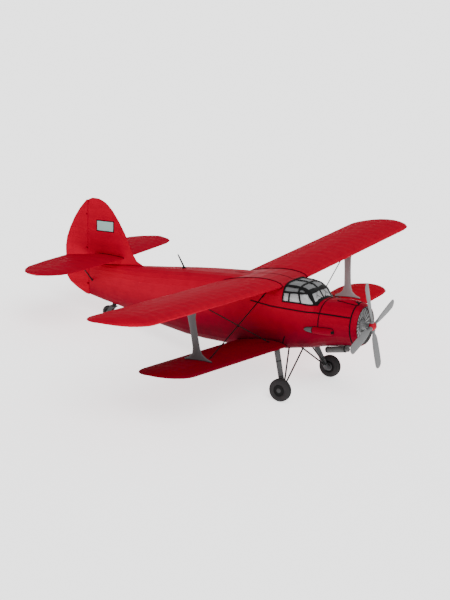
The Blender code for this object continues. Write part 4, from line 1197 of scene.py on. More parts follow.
@dataclass
class Tapes:
    """Rib tapes on the fabric surfaces."""

    bench: Bench
    width: float = 0.045
    lift: float = 0.0016
    thick: float = 0.0035

    def over(self, node: str, body: str, finish: DopedFabric) -> None:
        """Tape one fabric solid at its finish's rib pitch.

        Args:
            node: The solid.
            body: The body that carries it.
            finish: The solid's finish, which says where its ribs are.
        """
        bench = self.bench
        bm = bench.copy(node)
        axis = [0.0, 0.0, 0.0]
        axis[finish.rib_axis.value] = 1.0
        spots = [bench.level.read(vert.co)[finish.rib_axis.value] for vert in bm.verts]
        bm.free()
        whole = bmesh.new()
        low, high = min(spots) + self.width, max(spots) - self.width
        for number in range(math.ceil(low / finish.pitch), math.floor(high / finish.pitch) + 1):
            middle = number * finish.pitch
            cuts = bench.slab(tuple(axis), middle - self.width / 2, middle + self.width / 2)
            join(whole, bench.band([node], cuts, self.lift, self.thick))
        bench.piece(f"{node}_rib_tapes", whole, finish, body, sharp=50.0)

    def build(self) -> None:
        """Tape the wings, the moving surfaces and the tail."""
        for side in Side:
            # The starboard lower wing's tapes take the darker copy with painted shade.
            low = RED_WINGS if side is Side.PORT else RED_SHADED_LOW_WING
            for stem, finish in (("upper_wing", RED_WINGS), ("lower_wing", low), ("tailplane", RED_TAIL)):
                self.over(f"{stem}_{side.word}", ROOT, finish)
            for stem, finish in (("aileron", RED_WINGS), ("upper_flap", RED_WINGS), ("lower_flap", low),
                                 ("elevator", RED_TAIL)):
                self.over(f"{stem}_{side.word}", f"{stem}_{side.word}", finish)
        self.over("fin", ROOT, RED_FIN)
        self.over("rudder", "rudder", RED_FIN)


@dataclass
class CowlFront:
    """The funnel's alloy lining, the dark lines round it, the gear case's bolts and the cowl's latches."""

    bench: Bench
    lining: Outline = (
        (0.7690, 0.604), (0.8195, 0.5745), (0.893, 0.5745), (0.893, 0.571), (0.8175, 0.571), (0.7655, 0.599),
        (0.7655, 0.604))
    lines: Outline = ((0.7665, 0.610), (0.874, 0.563), (0.893, 0.226))
    line: float = 0.0075
    bolt_rings: tuple[tuple[float, Bolts], ...] = (
        (0.842, (0.164, 14, 0.009, 0.012)), (0.803, (0.122, 8, 0.009, 0.012)))
    latch_turns: tuple[float, ...] = (-38.0, -12.0, 52.0)
    latch_y: float = 1.86
    latch: Place = (0.030, 0.070, 0.012)
    latch_edge: float = 0.003
    latch_stud: Place = (0.0, 0.018, 0.005)
    latch_head: tuple[float, float, int] = (0.009, 0.004, 8)
    steps: int = 72

    def build(self) -> None:
        """Make all of it."""
        bench = self.bench
        aft = bench.level.along(*AFT)
        bm = bmesh.new()
        bench.lathe(bm, self.lining, (0.0, 0.0, SHAFT.z), AFT, self.steps)
        bench.piece("cowl_lining", bm, LIP_GREY)
        bm = bmesh.new()
        for y, radius in self.lines:
            bench.hoop(bm, (0.0, y, SHAFT.z), AFT, radius, self.line, self.steps)
        bench.piece("cowl_lines", bm, SEAL_BLACK, sharp=ROUND)
        bm = bmesh.new()
        for y, ring in self.bolt_rings:
            bench.bolts(bm, (0.0, y, SHAFT.z), AHEAD, *ring)
        bench.piece("gear_case_bolts", bm, STEEL)
        bm = bmesh.new()
        cowl = bench.surface("engine_cowl")
        for turn in self.latch_turns:
            for angle in (turn, 180.0 - turn):
                place, out = bench.touch(cowl, self.latch_y, math.radians(angle))
                seat = Matrix((out.cross(aft), aft, out)).transposed().to_4x4()
                seat.translation = place
                block(bm, seat, self.latch, self.latch_edge)
                stud(bm, seat @ Vector(self.latch_stud), out, *self.latch_head)
        bench.piece("cowl_latches", bm, RED_SKIN)


@dataclass
class PropellerTrim:
    """Clamps over the blade roots with their bolts, and the line behind the spinner."""

    bench: Bench
    blades: int = 4
    first_degrees: float = 18.5
    clamp: Outline = ((0.128, 0.0), (0.128, 0.061), (0.136, 0.067), (0.178, 0.067), (0.192, 0.055), (0.192, 0.0))
    bolt_place: Place = (0.158, 0.022, 0.0603)   # out along the blade, to either side of it, and ahead
    bolt: Pair = (0.008, 0.011)
    line_place: Place = (0.0, 0.578, SHAFT.z)
    line: tuple[float, float, int] = (0.118, 0.007, 40)

    def build(self) -> None:
        """Make them on the propeller."""
        bench = self.bench
        bm, bolts = bmesh.new(), bmesh.new()
        out, aside, front = self.bolt_place
        for number in range(self.blades):
            turn = math.radians(self.first_degrees) + math.tau * number / self.blades
            arm = Vector((math.cos(turn), 0.0, math.sin(turn)))
            bench.lathe(bm, self.clamp, tuple(SHAFT), tuple(arm), 32)
            square = Vector((-arm.z, 0.0, arm.x))
            for across in (-aside, aside):
                place = SHAFT + arm * out + square * across + Vector(AHEAD) * front
                stud(bolts, bench.level.at(*place), bench.level.along(*AHEAD), *self.bolt)
        bench.piece("blade_clamps", bm, BLADE_GREY, "propeller")
        bench.piece("blade_clamp_bolts", bolts, STEEL, "propeller")
        bm = bmesh.new()
        bench.hoop(bm, self.line_place, AFT, *self.line)
        bench.piece("spinner_line", bm, SEAL_BLACK, "propeller", sharp=ROUND)


@dataclass
class DuctTrim:
    """Fittings of the exhaust, the scoop on top of the cowl and the duct on its starboard side."""

    bench: Bench
    pipe_start: Place = (-0.40, 1.15, -0.75)
    pipe_end: Place = (-0.40, 1.97, -0.88)
    pipe_radius: float = 0.088
    lining: Outline = (
        (-0.156, 0.0), (-0.156, 0.0735), (-0.0005, 0.0735), (-0.0005, 0.071), (-0.152, 0.071), (-0.152, 0.0))
    jacket: Outline = ((0.125, 0.086), (0.125, 0.106), (0.780, 0.106), (0.780, 0.086))
    lip: tuple[float, float, int] = (0.083, 0.0085, 40)
    bands: Pair = (0.115, 0.765)
    band_width: float = 0.022
    band_radius: float = 0.112
    facing: float = 0.35
    # Painted shadow: black patches over the closed fronts of the scoop and the side duct stand for their open mouths.
    mouths: tuple[Patch, ...] = (
        Patch("scoop_mouth", "carburettor_intake", ((PORT, -0.235, -0.085), (UP, 0.740, 0.815)), SOOT_AND_SHADOW),
        Patch("side_duct_mouth", "side_duct", ((UP, -0.198, -0.102),), SOOT_AND_SHADOW))
    sleeves: tuple[Patch, ...] = (
        Patch("side_duct_outlet", "side_duct", ((AFT, 2.250, 2.60),), STRUT_GREY, 0.005, 0.008),
        Patch("side_duct_band", "side_duct", ((AFT, 2.232, 2.256),), SEAL_BLACK, 0.008, 0.010))

    def ahead(self, face: BMFace) -> bool:
        """Whether a face looks forward."""
        return face.normal.dot(self.bench.level.along(*AFT)) < -self.facing

    def build(self) -> None:
        """Make them."""
        bench = self.bench
        axis = tuple((Vector(self.pipe_end) - Vector(self.pipe_start)).normalized())
        bm = bmesh.new()
        bench.lathe(bm, self.lining, self.pipe_end, axis, 32)
        bench.piece("exhaust_soot_lining", bm, SOOT_AND_SHADOW)
        bm = bmesh.new()
        bench.hoop(bm, self.pipe_end, axis, *self.lip)
        for start in self.bands:
            end = start + self.band_width
            bench.lathe(bm, ((start, self.pipe_radius), (start, self.band_radius), (end, self.band_radius),
                             (end, self.pipe_radius)), self.pipe_start, axis, 40)
        bench.piece("exhaust_bands", bm, STAY_BLACK)
        bm = bmesh.new()
        bench.lathe(bm, self.jacket, self.pipe_start, axis, 40)
        bench.piece("exhaust_jacket", bm, EXHAUST_GREY)
        for patch in self.mouths:
            bench.raise_patch(patch, self.ahead)
        for patch in self.sleeves:
            bench.raise_patch(patch, bench.outward)


@dataclass
class Wheel:
    """One wheel's tyre, rim flanges and nuts."""

    bench: Bench
    name: str
    body: str
    centre: Place
    radius: float
    width: float
    rim: float
    squareness: float = 2.8
    tread: float = 0.42
    wall_steps: int = 13
    crown_rise: float = 0.0015
    groove_spots: Place = (0.62, 0.0, -0.62)
    groove: Outline = ((0.0075, 0.0), (0.0050, 0.007), (-0.0050, 0.007), (-0.0075, 0.0))
    flange_share: float = 0.79
    flange: Pair = (0.006, 0.011)
    nut_share: float = 0.52
    nuts: Bolts = (0.70, 8, 0.05, 0.07)          # for a rim of one metre

    def section(self) -> list[Pair]:
        """The tyre's closed outline: rounded walls and a tread with three grooves.

        Returns:
            The outline, as (along, radius) pairs.
        """
        half, middle, tall = self.width / 2, (self.rim + self.radius) / 2, (self.radius - self.rim) / 2
        power = 2.0 / self.squareness

        def wall(turn: float) -> Pair:
            """A point of the rounded section, with turn measured from its side.

            Args:
                turn: The angle, in radians.

            Returns:
                The point, as (along, radius).
            """
            across, up = math.cos(turn), math.sin(turn)
            return (half * math.copysign(abs(across) ** power, across),
                    middle + tall * math.copysign(abs(up) ** power, up))

        edge = half * self.tread
        low, high = -math.pi / 2, math.acos(self.tread ** (1.0 / power))
        rising = [wall(low + (high - low) * step / self.wall_steps) for step in range(self.wall_steps + 1)]
        crown = rising[-1][1] + self.crown_rise
        ribs = [(edge * spot + across, crown - down) for spot in self.groove_spots for across, down in self.groove]
        falling = [(-across, up) for across, up in reversed(rising[1:])]
        return rising + ribs + falling

    def build(self) -> None:
        """Make the wheel's pieces."""
        bench = self.bench
        bm = bmesh.new()
        bench.lathe(bm, self.section(), self.centre, PORT, 72)
        tyre = bench.piece(f"{self.name}_fitted_tyre", bm, RUBBER, self.body)
        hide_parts(f"{self.name}_tyre")
        bm, nuts = bmesh.new(), bmesh.new()
        half = self.width / 2
        rise, tube = self.flange
        ring, count, radius, height = self.nuts
        for side in Side:
            bench.hoop(bm, beside(self.centre, half * self.flange_share * side.value), PORT, self.rim + rise, tube, 56)
            bench.bolts(nuts, beside(self.centre, half * self.nut_share * side.value), side.mirror(PORT),
                        self.rim * ring, count, self.rim * radius, self.rim * height)
        bench.piece(f"{self.name}_rim_flanges", bm, HUB_GREY, self.body, sharp=ROUND)
        bench.piece(f"{self.name}_wheel_nuts", nuts, STEEL, self.body)


@dataclass
class MainGear:
    """Wheels, caps, brake plates, leg collars and brake pipes of the main gear."""

    bench: Bench
    place: Place = (1.70, 2.96, -2.08)
    tyre: Place = (0.385, 0.26, 0.17)
    cap: Outline = ((0.068, 0.0), (0.068, 0.090), (0.094, 0.088), (0.107, 0.076), (0.114, 0.052), (0.118, 0.0))
    cap_bolts_out: float = 0.100
    cap_bolts: Bolts = (0.070, 6, 0.006, 0.012)
    cap_line_out: float = 0.080
    cap_line: tuple[float, float, int] = (0.093, 0.007, 40)
    collars: Outline = ((0.10, 0.0862), (0.30, 0.0890), (0.355, 0.0896), (0.86, 0.0955))
    collar: Outline = ((-0.014, -0.004), (-0.010, 0.006), (0.010, 0.006), (0.014, -0.004))
    plate_x: float = 1.572
    plate: Outline = ((0.0, 0.076), (0.0, 0.140), (0.016, 0.140), (0.016, 0.076))
    plate_bolts: Bolts = (0.112, 8, 0.008, 0.008)
    pipe: float = 0.009
    pipe_foot: tuple[Place, ...] = ((1.566, 3.07, -2.08), (1.545, 3.10, -2.00))
    pipe_behind: float = 0.102
    pipe_shares: tuple[float, ...] = (0.12, 0.30, 0.55, 0.80, 0.97)

    def build(self) -> None:
        """Make both sides."""
        for side in Side:
            self.cover(side)
            self.leg(side)

    def cover(self, side: Side) -> None:
        """Tyre, flanges and cap of one wheel.

        Args:
            side: The wheel's side.
        """
        bench = self.bench
        centre, out = side.mirror(self.place), side.mirror(PORT)
        name, body = f"main_{side.word}", f"main_wheel_{side.word}"
        Wheel(bench, name, body, centre, *self.tyre).build()
        bm = bmesh.new()
        bench.lathe(bm, self.cap, centre, out, 40)
        bench.bolts(bm, beside(centre, self.cap_bolts_out * side.value), out, *self.cap_bolts)
        bench.piece(f"{name}_cap", bm, CAP_GREY, body)
        bm = bmesh.new()
        bench.hoop(bm, beside(centre, self.cap_line_out * side.value), out, *self.cap_line)
        bench.piece(f"{name}_cap_line", bm, SEAL_BLACK, body, sharp=ROUND)

    def leg(self, side: Side) -> None:
        """Collars, brake plate, brake pipe and bolts of one leg.

        Args:
            side: The leg's side.
        """
        bench = self.bench
        foot, head = Vector(side.mirror(LEG_KNEE)), Vector(side.mirror(LEG_TOP))
        run = head - foot
        bm = bmesh.new()
        for along, radius in self.collars:
            bench.lathe(bm, [(along + step, radius + rise) for step, rise in self.collar], tuple(foot),
                        tuple(run.normalized()), 36)
        bench.piece(f"main_{side.word}_leg_collars", bm, STAY_BLACK)
        bm = bmesh.new()
        centre = side.mirror((self.plate_x, *self.place[1:]))
        bench.lathe(bm, self.plate, centre, side.mirror(PORT), 40)
        bench.bolts(bm, centre, (-side.value, 0.0, 0.0), *self.plate_bolts)
        bench.piece(f"main_{side.word}_brake_plate", bm, IRON)
        bm = bmesh.new()
        behind = Vector(AFT) * self.pipe_behind
        path = [side.mirror(place) for place in self.pipe_foot]
        path += [tuple(foot + run * share + behind) for share in self.pipe_shares]
        bench.pipe(bm, path, self.pipe)
        bench.piece(f"main_{side.word}_brake_pipe", bm, SEAL_BLACK, sharp=ROUND)


@dataclass
class TailWheel:
    """The tail wheel's tyre, the rubber boot over its post and the bolts of its fork."""

    bench: Bench
    place: Place = (0.0, 10.97, -0.85)
    tyre: Place = (0.225, 0.17, 0.10)
    ahead: float = 0.20
    crown: float = 0.24
    folds: int = 4
    fold: Place = (0.040, 0.062, 0.011)          # over the crown, radius and tube
    fold_pitch: Pair = (0.022, 0.002)            # up and outward, from one fold to the next
    bolts: tuple[Place, ...] = ((0.088, -0.045, 0.020), (0.088, 0.095, 0.020))
    bolt: Pair = (0.011, 0.012)
    axle: float = 0.122
    axle_nut: tuple[Pair, Pair] = ((-0.004, 0.026), (0.012, 0.020))

    def build(self) -> None:
        """Make them; the boot's folds follow the upright post in the row frame."""
        bench = self.bench
        Wheel(bench, "tail", "tail_wheel", self.place, *self.tyre).build()
        axle = bench.level.at(*self.place)
        crown = axle - Vector((0.0, self.ahead, -self.crown))
        up = Vector(UP)
        rise, radius, tube = self.fold
        bm = bmesh.new()
        for fold in range(self.folds):
            torus(bm, crown + up * (rise + fold * self.fold_pitch[0]), up, radius + fold * self.fold_pitch[1], tube, 36)
        bench.piece("tail_boot_folds", bm, RUBBER, sharp=ROUND)
        bm = bmesh.new()
        (inner, inner_radius), (outer, outer_radius) = self.axle_nut
        for side in Side:
            for place in self.bolts:
                stud(bm, crown + Vector(side.mirror(place)), up, *self.bolt)
            out = Vector(side.mirror(PORT))
            end = axle + out * self.axle
            drum(bm, end + out * inner, end + out * outer, inner_radius, outer_radius, 6)
        bench.piece("tail_fork_bolts", bm, STEEL, "tail_fork")


@dataclass
class TailTrim:
    """The blank plates on the fin, with their dark borders, and the tabs of rudder and elevators."""

    bench: Bench
    patches: tuple[Patch, ...] = (
        Patch("fin_plate_borders", "fin", ((AFT, 10.656, 11.384), (UP, 2.036, 2.434)), SEAL_BLACK, 0.003, 0.004),
        Patch("fin_plates", "fin", ((AFT, 10.69, 11.35), (UP, 2.07, 2.40)), PLATE, 0.006, 0.004),
        Patch("rudder_tab", "rudder", ((AFT, 12.46, 12.74), (UP, 0.62, 1.72)), RED_FIN, 0.003, 0.004, "rudder"),
        Patch("elevator_tab_port", "elevator_port", ((PORT, 1.1, 2.3), (AFT, 11.98, 12.30)), RED_TAIL, 0.003,
              0.004, "elevator_port"),
        Patch("elevator_tab_starboard", "elevator_starboard", ((PORT, -2.3, -1.1), (AFT, 11.98, 12.30)), RED_TAIL,
              0.003, 0.004, "elevator_starboard"))

    def build(self) -> None:
        """Make the plates and tabs."""
        for patch in self.patches:
            self.bench.raise_patch(patch)


@dataclass(frozen=True)
class Stay:
    """A port stay or strut: its ends, where along it the fork ends start, and its radius."""

    start: Place
    end: Place
    shares: Pair
    radius: float = 0.018
    buckled: bool = True


@dataclass
class StayFittings:
    """Fork ends and turnbuckles on the flying and landing stays and the tail struts."""

    bench: Bench
    stays: tuple[Stay, ...] = (
        Stay((0.87, 3.68, -0.86), (4.85, 4.03, 1.30), (0.0663, 0.983)),
        Stay((0.66, 3.96, 1.02), (4.80, 3.86, -0.58), (0.0389, 0.9454)),
        Stay((0.05, 11.60, 0.20), (1.50, 11.08, 1.16), (0.045, 0.955), 0.022, False))
    fork: tuple[Pair, Pair] = ((-0.01, 0.013), (0.13, 0.003))   # along the stay and over its radius
    buckle: Place = (0.27, 0.41, 0.010)                         # from and to along the stay, and over its radius
    sheath: tuple[Place, Place] = ((0.0, 7.745, 1.094), (0.0, 7.996, 1.520))
    sheath_radii: Pair = (0.034, 0.024)
    foot: tuple[Place, Place] = ((0.0, 7.762, 1.102), (0.0, 7.762, 1.142))
    foot_radii: Pair = (0.085, 0.060)

    def fit(self, stay: Stay, side: Side, forks: BMesh, buckles: BMesh) -> None:
        """Put the fittings on one stay.

        Args:
            stay: The stay.
            side: Its side.
            forks: The mesh for the fork ends.
            buckles: The mesh for the turnbuckle.
        """
        start, end = Vector(side.mirror(stay.start)), Vector(side.mirror(stay.end))
        run = (end - start).normalized()
        (near, thick), (far, thin) = self.fork
        for share, way in zip(stay.shares, (run, -run)):
            seat = start.lerp(end, share)
            self.bench.bar(forks, tuple(seat + way * near), tuple(seat + way * far), stay.radius + thick,
                           stay.radius + thin, 12)
        if stay.buckled:
            seat = start.lerp(end, stay.shares[0])
            low, high, grow = self.buckle
            self.bench.bar(buckles, tuple(seat + run * low), tuple(seat + run * high), stay.radius + grow, sides=6)

    def build(self) -> None:
        """Make them on both sides, and the aerial mast's sheath and foot."""
        bench = self.bench
        for side in Side:
            forks, buckles = bmesh.new(), bmesh.new()
            for stay in self.stays:
                self.fit(stay, side, forks, buckles)
            bench.piece(f"stay_ends_{side.word}", forks, STAY_BLACK)
            bench.piece(f"stay_turnbuckles_{side.word}", buckles, HUB_GREY)
        bm = bmesh.new()
        bench.bar(bm, *self.sheath, *self.sheath_radii, 16)
        bench.bar(bm, *self.foot, *self.foot_radii, 24)
        bench.piece("aerial_mast_sheath", bm, FRAME_BLACK)


@dataclass
class CanopyTrim:
    """Wipers on the windscreen."""

    bench: Bench
    proud: float = 0.014
    look_from: float = 1.0
    arm: tuple[Pair, Pair] = ((0.14, 0.775), (0.30, 0.880))
    blade_start: Pair = (0.22, 0.955)
    blade_run: Pair = (0.16, -0.150)
    blade_steps: int = 4
    radius: float = 0.006
    boss: tuple[Pair, Pair] = ((0.020, 0.016), (-0.012, 0.012))   # aft of the arm's foot, and radius

    def on_glass(self, tree: BVHTree, x: float, z: float) -> Place:
        """A level place just ahead of the windscreen.

        Args:
            tree: The windscreen and what is round it.
            x: The place's X.
            z: The place's Z.

        Returns:
            The place.
        """
        level = self.bench.level
        point, normal, _, _ = tree.ray_cast(level.at(x, self.look_from, z), level.along(*AFT))
        return tuple(level.read(point + normal * self.proud))

    def build(self) -> None:
        """Make the wipers."""
        bench = self.bench
        tree = bench.surface("canopy_glass", "canopy_frame", "nose_section")
        (x, z), (run_x, run_z) = self.blade_start, self.blade_run
        shares = [step / self.blade_steps for step in range(self.blade_steps + 1)]
        for side in Side:
            bm = bmesh.new()
            foot, elbow = (self.on_glass(tree, across * side.value, up) for across, up in self.arm)
            (rear, rear_radius), (front, front_radius) = self.boss
            bench.bar(bm, (foot[0], foot[1] + rear, foot[2]), (foot[0], foot[1] + front, foot[2]), rear_radius,
                      front_radius, 16)
            bench.pipe(bm, [foot, elbow], self.radius)
            bench.pipe(bm, [self.on_glass(tree, (x + run_x * share) * side.value, z + run_z * share)
                            for share in shares], self.radius)
            bench.piece(f"wiper_{side.word}", bm, FRAME_BLACK, sharp=ROUND)


@dataclass
class DoorTrim:
    """Window, handle, hinge straps and edge seal of the cabin door."""

    bench: Bench
    window: Place = (0.880, 6.26, 0.42)
    ring: Outline = ((0.0, 0.156), (0.0, 0.196), (0.014, 0.192), (0.020, 0.176), (0.014, 0.156))
    ring_bolts_out: float = 0.014
    ring_bolts: Bolts = (0.184, 16, 0.006, 0.006)
    pane: Outline = ((-0.012, 0.0), (-0.012, 0.159), (-0.006, 0.159), (-0.006, 0.0))
    edges: tuple[float, float, float, float] = (5.772, 6.742, -0.606, 0.788)
    seal: float = 0.020
    strap_heights: Pair = (0.58, -0.36)
    strap_run: Pair = (5.80, 6.04)
    strap_width: float = 0.048
    seal_rise: Pair = (0.002, 0.004)             # how far the patch stands off, and its thickness
    strap_rise: Pair = (0.006, 0.008)
    facing: float = 0.5
    handle_plate: tuple[Place, Place, float] = ((0.902, 6.62, 0.02), (0.014, 0.070, 0.150), 0.005)
    handle: tuple[Place, ...] = (
        (0.902, 6.62, 0.055), (0.945, 6.62, 0.055), (0.952, 6.60, 0.045), (0.952, 6.50, 0.040))
    handle_radius: float = 0.010

    def outside(self, face: BMFace) -> bool:
        """Whether a face belongs to the door's outer skin."""
        return self.bench.outward(face) and face.normal.x > self.facing

    def build(self) -> None:
        """Make them on the door."""
        bench = self.bench
        bm = bmesh.new()
        bench.lathe(bm, self.ring, self.window, PORT, 48)
        bench.bolts(bm, beside(self.window, self.ring_bolts_out), PORT, *self.ring_bolts)
        bench.piece("door_window_ring", bm, RED_SKIN, "cabin_door")
        bm = bmesh.new()
        bench.lathe(bm, self.pane, self.window, PORT, 48)
        bench.piece("door_window_pane", bm, PANE, "cabin_door")
        bm = bmesh.new()
        front, rear, low, high = self.edges
        for axis, start in ((AFT, front), (AFT, rear - self.seal), (UP, low), (UP, high - self.seal)):
            join(bm, bench.band(["cabin_door"], bench.slab(axis, start, start + self.seal), *self.seal_rise,
                                self.outside))
        bench.piece("door_edge_seal", bm, SEAL_BLACK, "cabin_door")
        bm = bmesh.new()
        for z in self.strap_heights:
            cuts = bench.slab(UP, z - self.strap_width / 2, z + self.strap_width / 2) + bench.slab(AFT, *self.strap_run)
            join(bm, bench.band(["cabin_door"], cuts, *self.strap_rise, self.outside))
        bench.piece("door_hinge_straps", bm, RED_SKIN, "cabin_door")
        bm = bmesh.new()
        bench.brick(bm, *self.handle_plate)
        bench.pipe(bm, self.handle, self.handle_radius)
        bench.piece("door_handle", bm, STEEL, "cabin_door")


@dataclass
class Seat:
    """One pilot's seat: its frame, and two cushions blown up as cloth under pressure."""

    bench: Bench
    side: Side
    place: Place = (0.42, 3.14, -0.69)
    lean: float = 5.2
    boxes: tuple[tuple[Place, Place, float, float], ...] = (   # place, size, edge, and its share of the lean
        ((0.0, -0.03, 0.170), (0.250, 0.270, 0.330), 0.020, 0.0),
        ((0.0, -0.10, 0.352), (0.420, 0.370, 0.030), 0.010, 0.0),
        ((0.0, 0.175, 0.670), (0.420, 0.024, 0.620), 0.010, 1.0),
        ((-0.13, -0.02, 0.014), (0.030, 0.440, 0.028), 0.005, 0.0),
        ((0.13, -0.02, 0.014), (0.030, 0.440, 0.028), 0.005, 0.0))
    arm: tuple[Place, ...] = ((0.205, 0.165, 0.60), (0.205, 0.06, 0.60), (0.205, -0.02, 0.595), (0.205, -0.05, 0.54),
                              (0.205, -0.05, 0.37))
    arm_radius: float = 0.012
    voxel: float = 0.006
    pressure: float = 4.0
    frames: int = 20
    limit: float = 0.022
    bevel_share: float = 0.38
    channel_share: float = 0.17
    channel: float = 0.007
    rim: float = 0.0055
    rim_height: float = 0.20
    rim_steps: int = 48
    rim_power: float = 0.25
    quick_growth: float = 0.030

    def at(self, x: float, y: float, z: float) -> Place:
        """A level place from the seat's own foot."""
        return (self.place[0] * self.side.value + x, self.place[1] + y, self.place[2] + z)

    def frame(self) -> None:
        """Rails, pedestal, pan, back shell and arms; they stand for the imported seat."""
        bench = self.bench
        bm = bmesh.new()
        for place, size, edge, share in self.boxes:
            bench.brick(bm, self.at(*place), size, edge, Matrix.Rotation(-math.radians(self.lean * share), 4, "X"))
        for side in (Side.STARBOARD, Side.PORT):
            bench.pipe(bm, [self.at(*side.mirror(place)) for place in self.arm], self.arm_radius)
        made = bench.piece(f"seat_frame_{self.side.word}", bm, PANEL)
        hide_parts(f"pilot_seat_{self.side.word}")

    def pad(self, name: str, centre: Place, size: Place, tilt: Matrix) -> bpy.types.Object:
        """Make one cushion, with its channels pressed in after it is blown up.

        Args:
            name: The cushion's name.
            centre: Its middle, level.
            size: Its width, length and thickness before it swells.
            tilt: How it is turned.

        Returns:
            The cushion.
        """
        bench = self.bench
        bm = bmesh.new()
        bmesh.ops.create_cube(bm, size=1.0, matrix=Matrix.Diagonal((*size, 1.0)))
        bmesh.ops.bevel(bm, geom=bm.edges[:], offset=size[2] * self.bevel_share, segments=4, profile=0.5,
                        affect="EDGES", material=-1)
        bm = self.blow_up(bm)
        for vert in bm.verts:
            aside = abs(abs(vert.co.x) - size[0] * self.channel_share) / self.channel
            vert.co -= vert.normal * self.channel * math.exp(-aside ** 2)
        seat = bench.level.matrix @ Matrix.Translation(centre) @ tilt
        bmesh.ops.transform(bm, matrix=seat, verts=bm.verts)
        made = bench.piece(name, bm, CLOTH, sharp=80.0)
        smooth = made.modifiers.new("surface", "SUBSURF")
        smooth.levels = smooth.render_levels = 1
        self.piping(f"{name}_piping", made, seat, size)
        return made

    def blow_up(self, bm: BMesh) -> BMesh:
        """Remesh a cushion and swell it as cloth, no point further than the limit.

        Args:
            bm: The cushion; it is freed.

        Returns:
            The swollen cushion.
        """
        mesh = bpy.data.meshes.new("swelling")
        bm.to_mesh(mesh)
        bm.free()
        work = bpy.data.objects.new("swelling", mesh)
        bpy.context.scene.collection.objects.link(work)
        remesh = work.modifiers.new("voxels", "REMESH")
        remesh.mode = "VOXEL"
        remesh.voxel_size = self.voxel
        scene = bpy.context.scene
        scene.frame_set(1)
        even = bpy.data.meshes.new_from_object(work.evaluated_get(bpy.context.evaluated_depsgraph_get()))
        work.modifiers.clear()
        work.data = even
        cloth = work.modifiers.new("cloth", "CLOTH")
        cloth.settings.use_pressure = True
        cloth.settings.uniform_pressure_force = self.pressure
        cloth.settings.effector_weights.gravity = 0.0
        cloth.point_cache.frame_start, cloth.point_cache.frame_end = 1, self.frames
        for number in range(1, self.frames + 1):
            scene.frame_set(number)
        swollen = bmesh.new()
        swollen.from_object(work, bpy.context.evaluated_depsgraph_get())
        for vert, start in zip(swollen.verts, even.vertices):
            move = vert.co - start.co
            if move.length > self.limit:
                vert.co = start.co + move.normalized() * self.limit
        bmesh.ops.smooth_vert(swollen, verts=swollen.verts, factor=0.5, use_axis_x=True, use_axis_y=True,
                              use_axis_z=True)
        scene.frame_set(1)
        bpy.data.objects.remove(work)
        for item in (mesh, even):
            bpy.data.meshes.remove(item)
        swollen.normal_update()
        return swollen

    def piping(self, name: str, pad: bpy.types.Object, seat: Matrix, size: Place) -> None:
        """Lay piping round a cushion's rim, found by looking in from outside.

        Args:
            name: The piping's name.
            pad: The cushion.
            seat: The cushion's place.
            size: Its size before it swelled.
        """
        bm = bmesh.new()
        bm.from_mesh(pad.data)
        tree = BVHTree.FromBMesh(bm)
        bm.free()
        loop = []
        high = size[2] * self.rim_height
        for step in range(self.rim_steps + 1):
            turn = math.tau * (step % self.rim_steps) / self.rim_steps
            across, along = math.cos(turn), math.sin(turn)
            start = seat @ Vector((math.copysign(abs(across) ** self.rim_power, across) * size[0],
                                   math.copysign(abs(along) ** self.rim_power, along) * size[1], high))
            point, _, _, _ = tree.ray_cast(start, (seat @ Vector((0.0, 0.0, high)) - start).normalized())
            if point is not None:
                loop.append(point)
        bm = bmesh.new()
        sweep(bm, loop, self.rim, 8)
        self.bench.piece(name, bm, PIPING, sharp=ROUND)

    def build(self) -> None:
        """Make the frame and both cushions."""
        self.frame()
        word = self.side.word
        grow = 0.0
        tilt = Matrix.Rotation(math.radians(90.0 - self.lean), 4, "X")
        for name, place, size, turn in (("seat", (0.0, -0.105, 0.412), (0.375, 0.310, 0.058), Matrix()),
                                        ("back", (0.0, 0.112, 0.700), (0.350, 0.410, 0.052), tilt)):
            self.pad(f"{name}_cushion_{word}", self.at(*place), tuple(length + grow for length in size), turn)


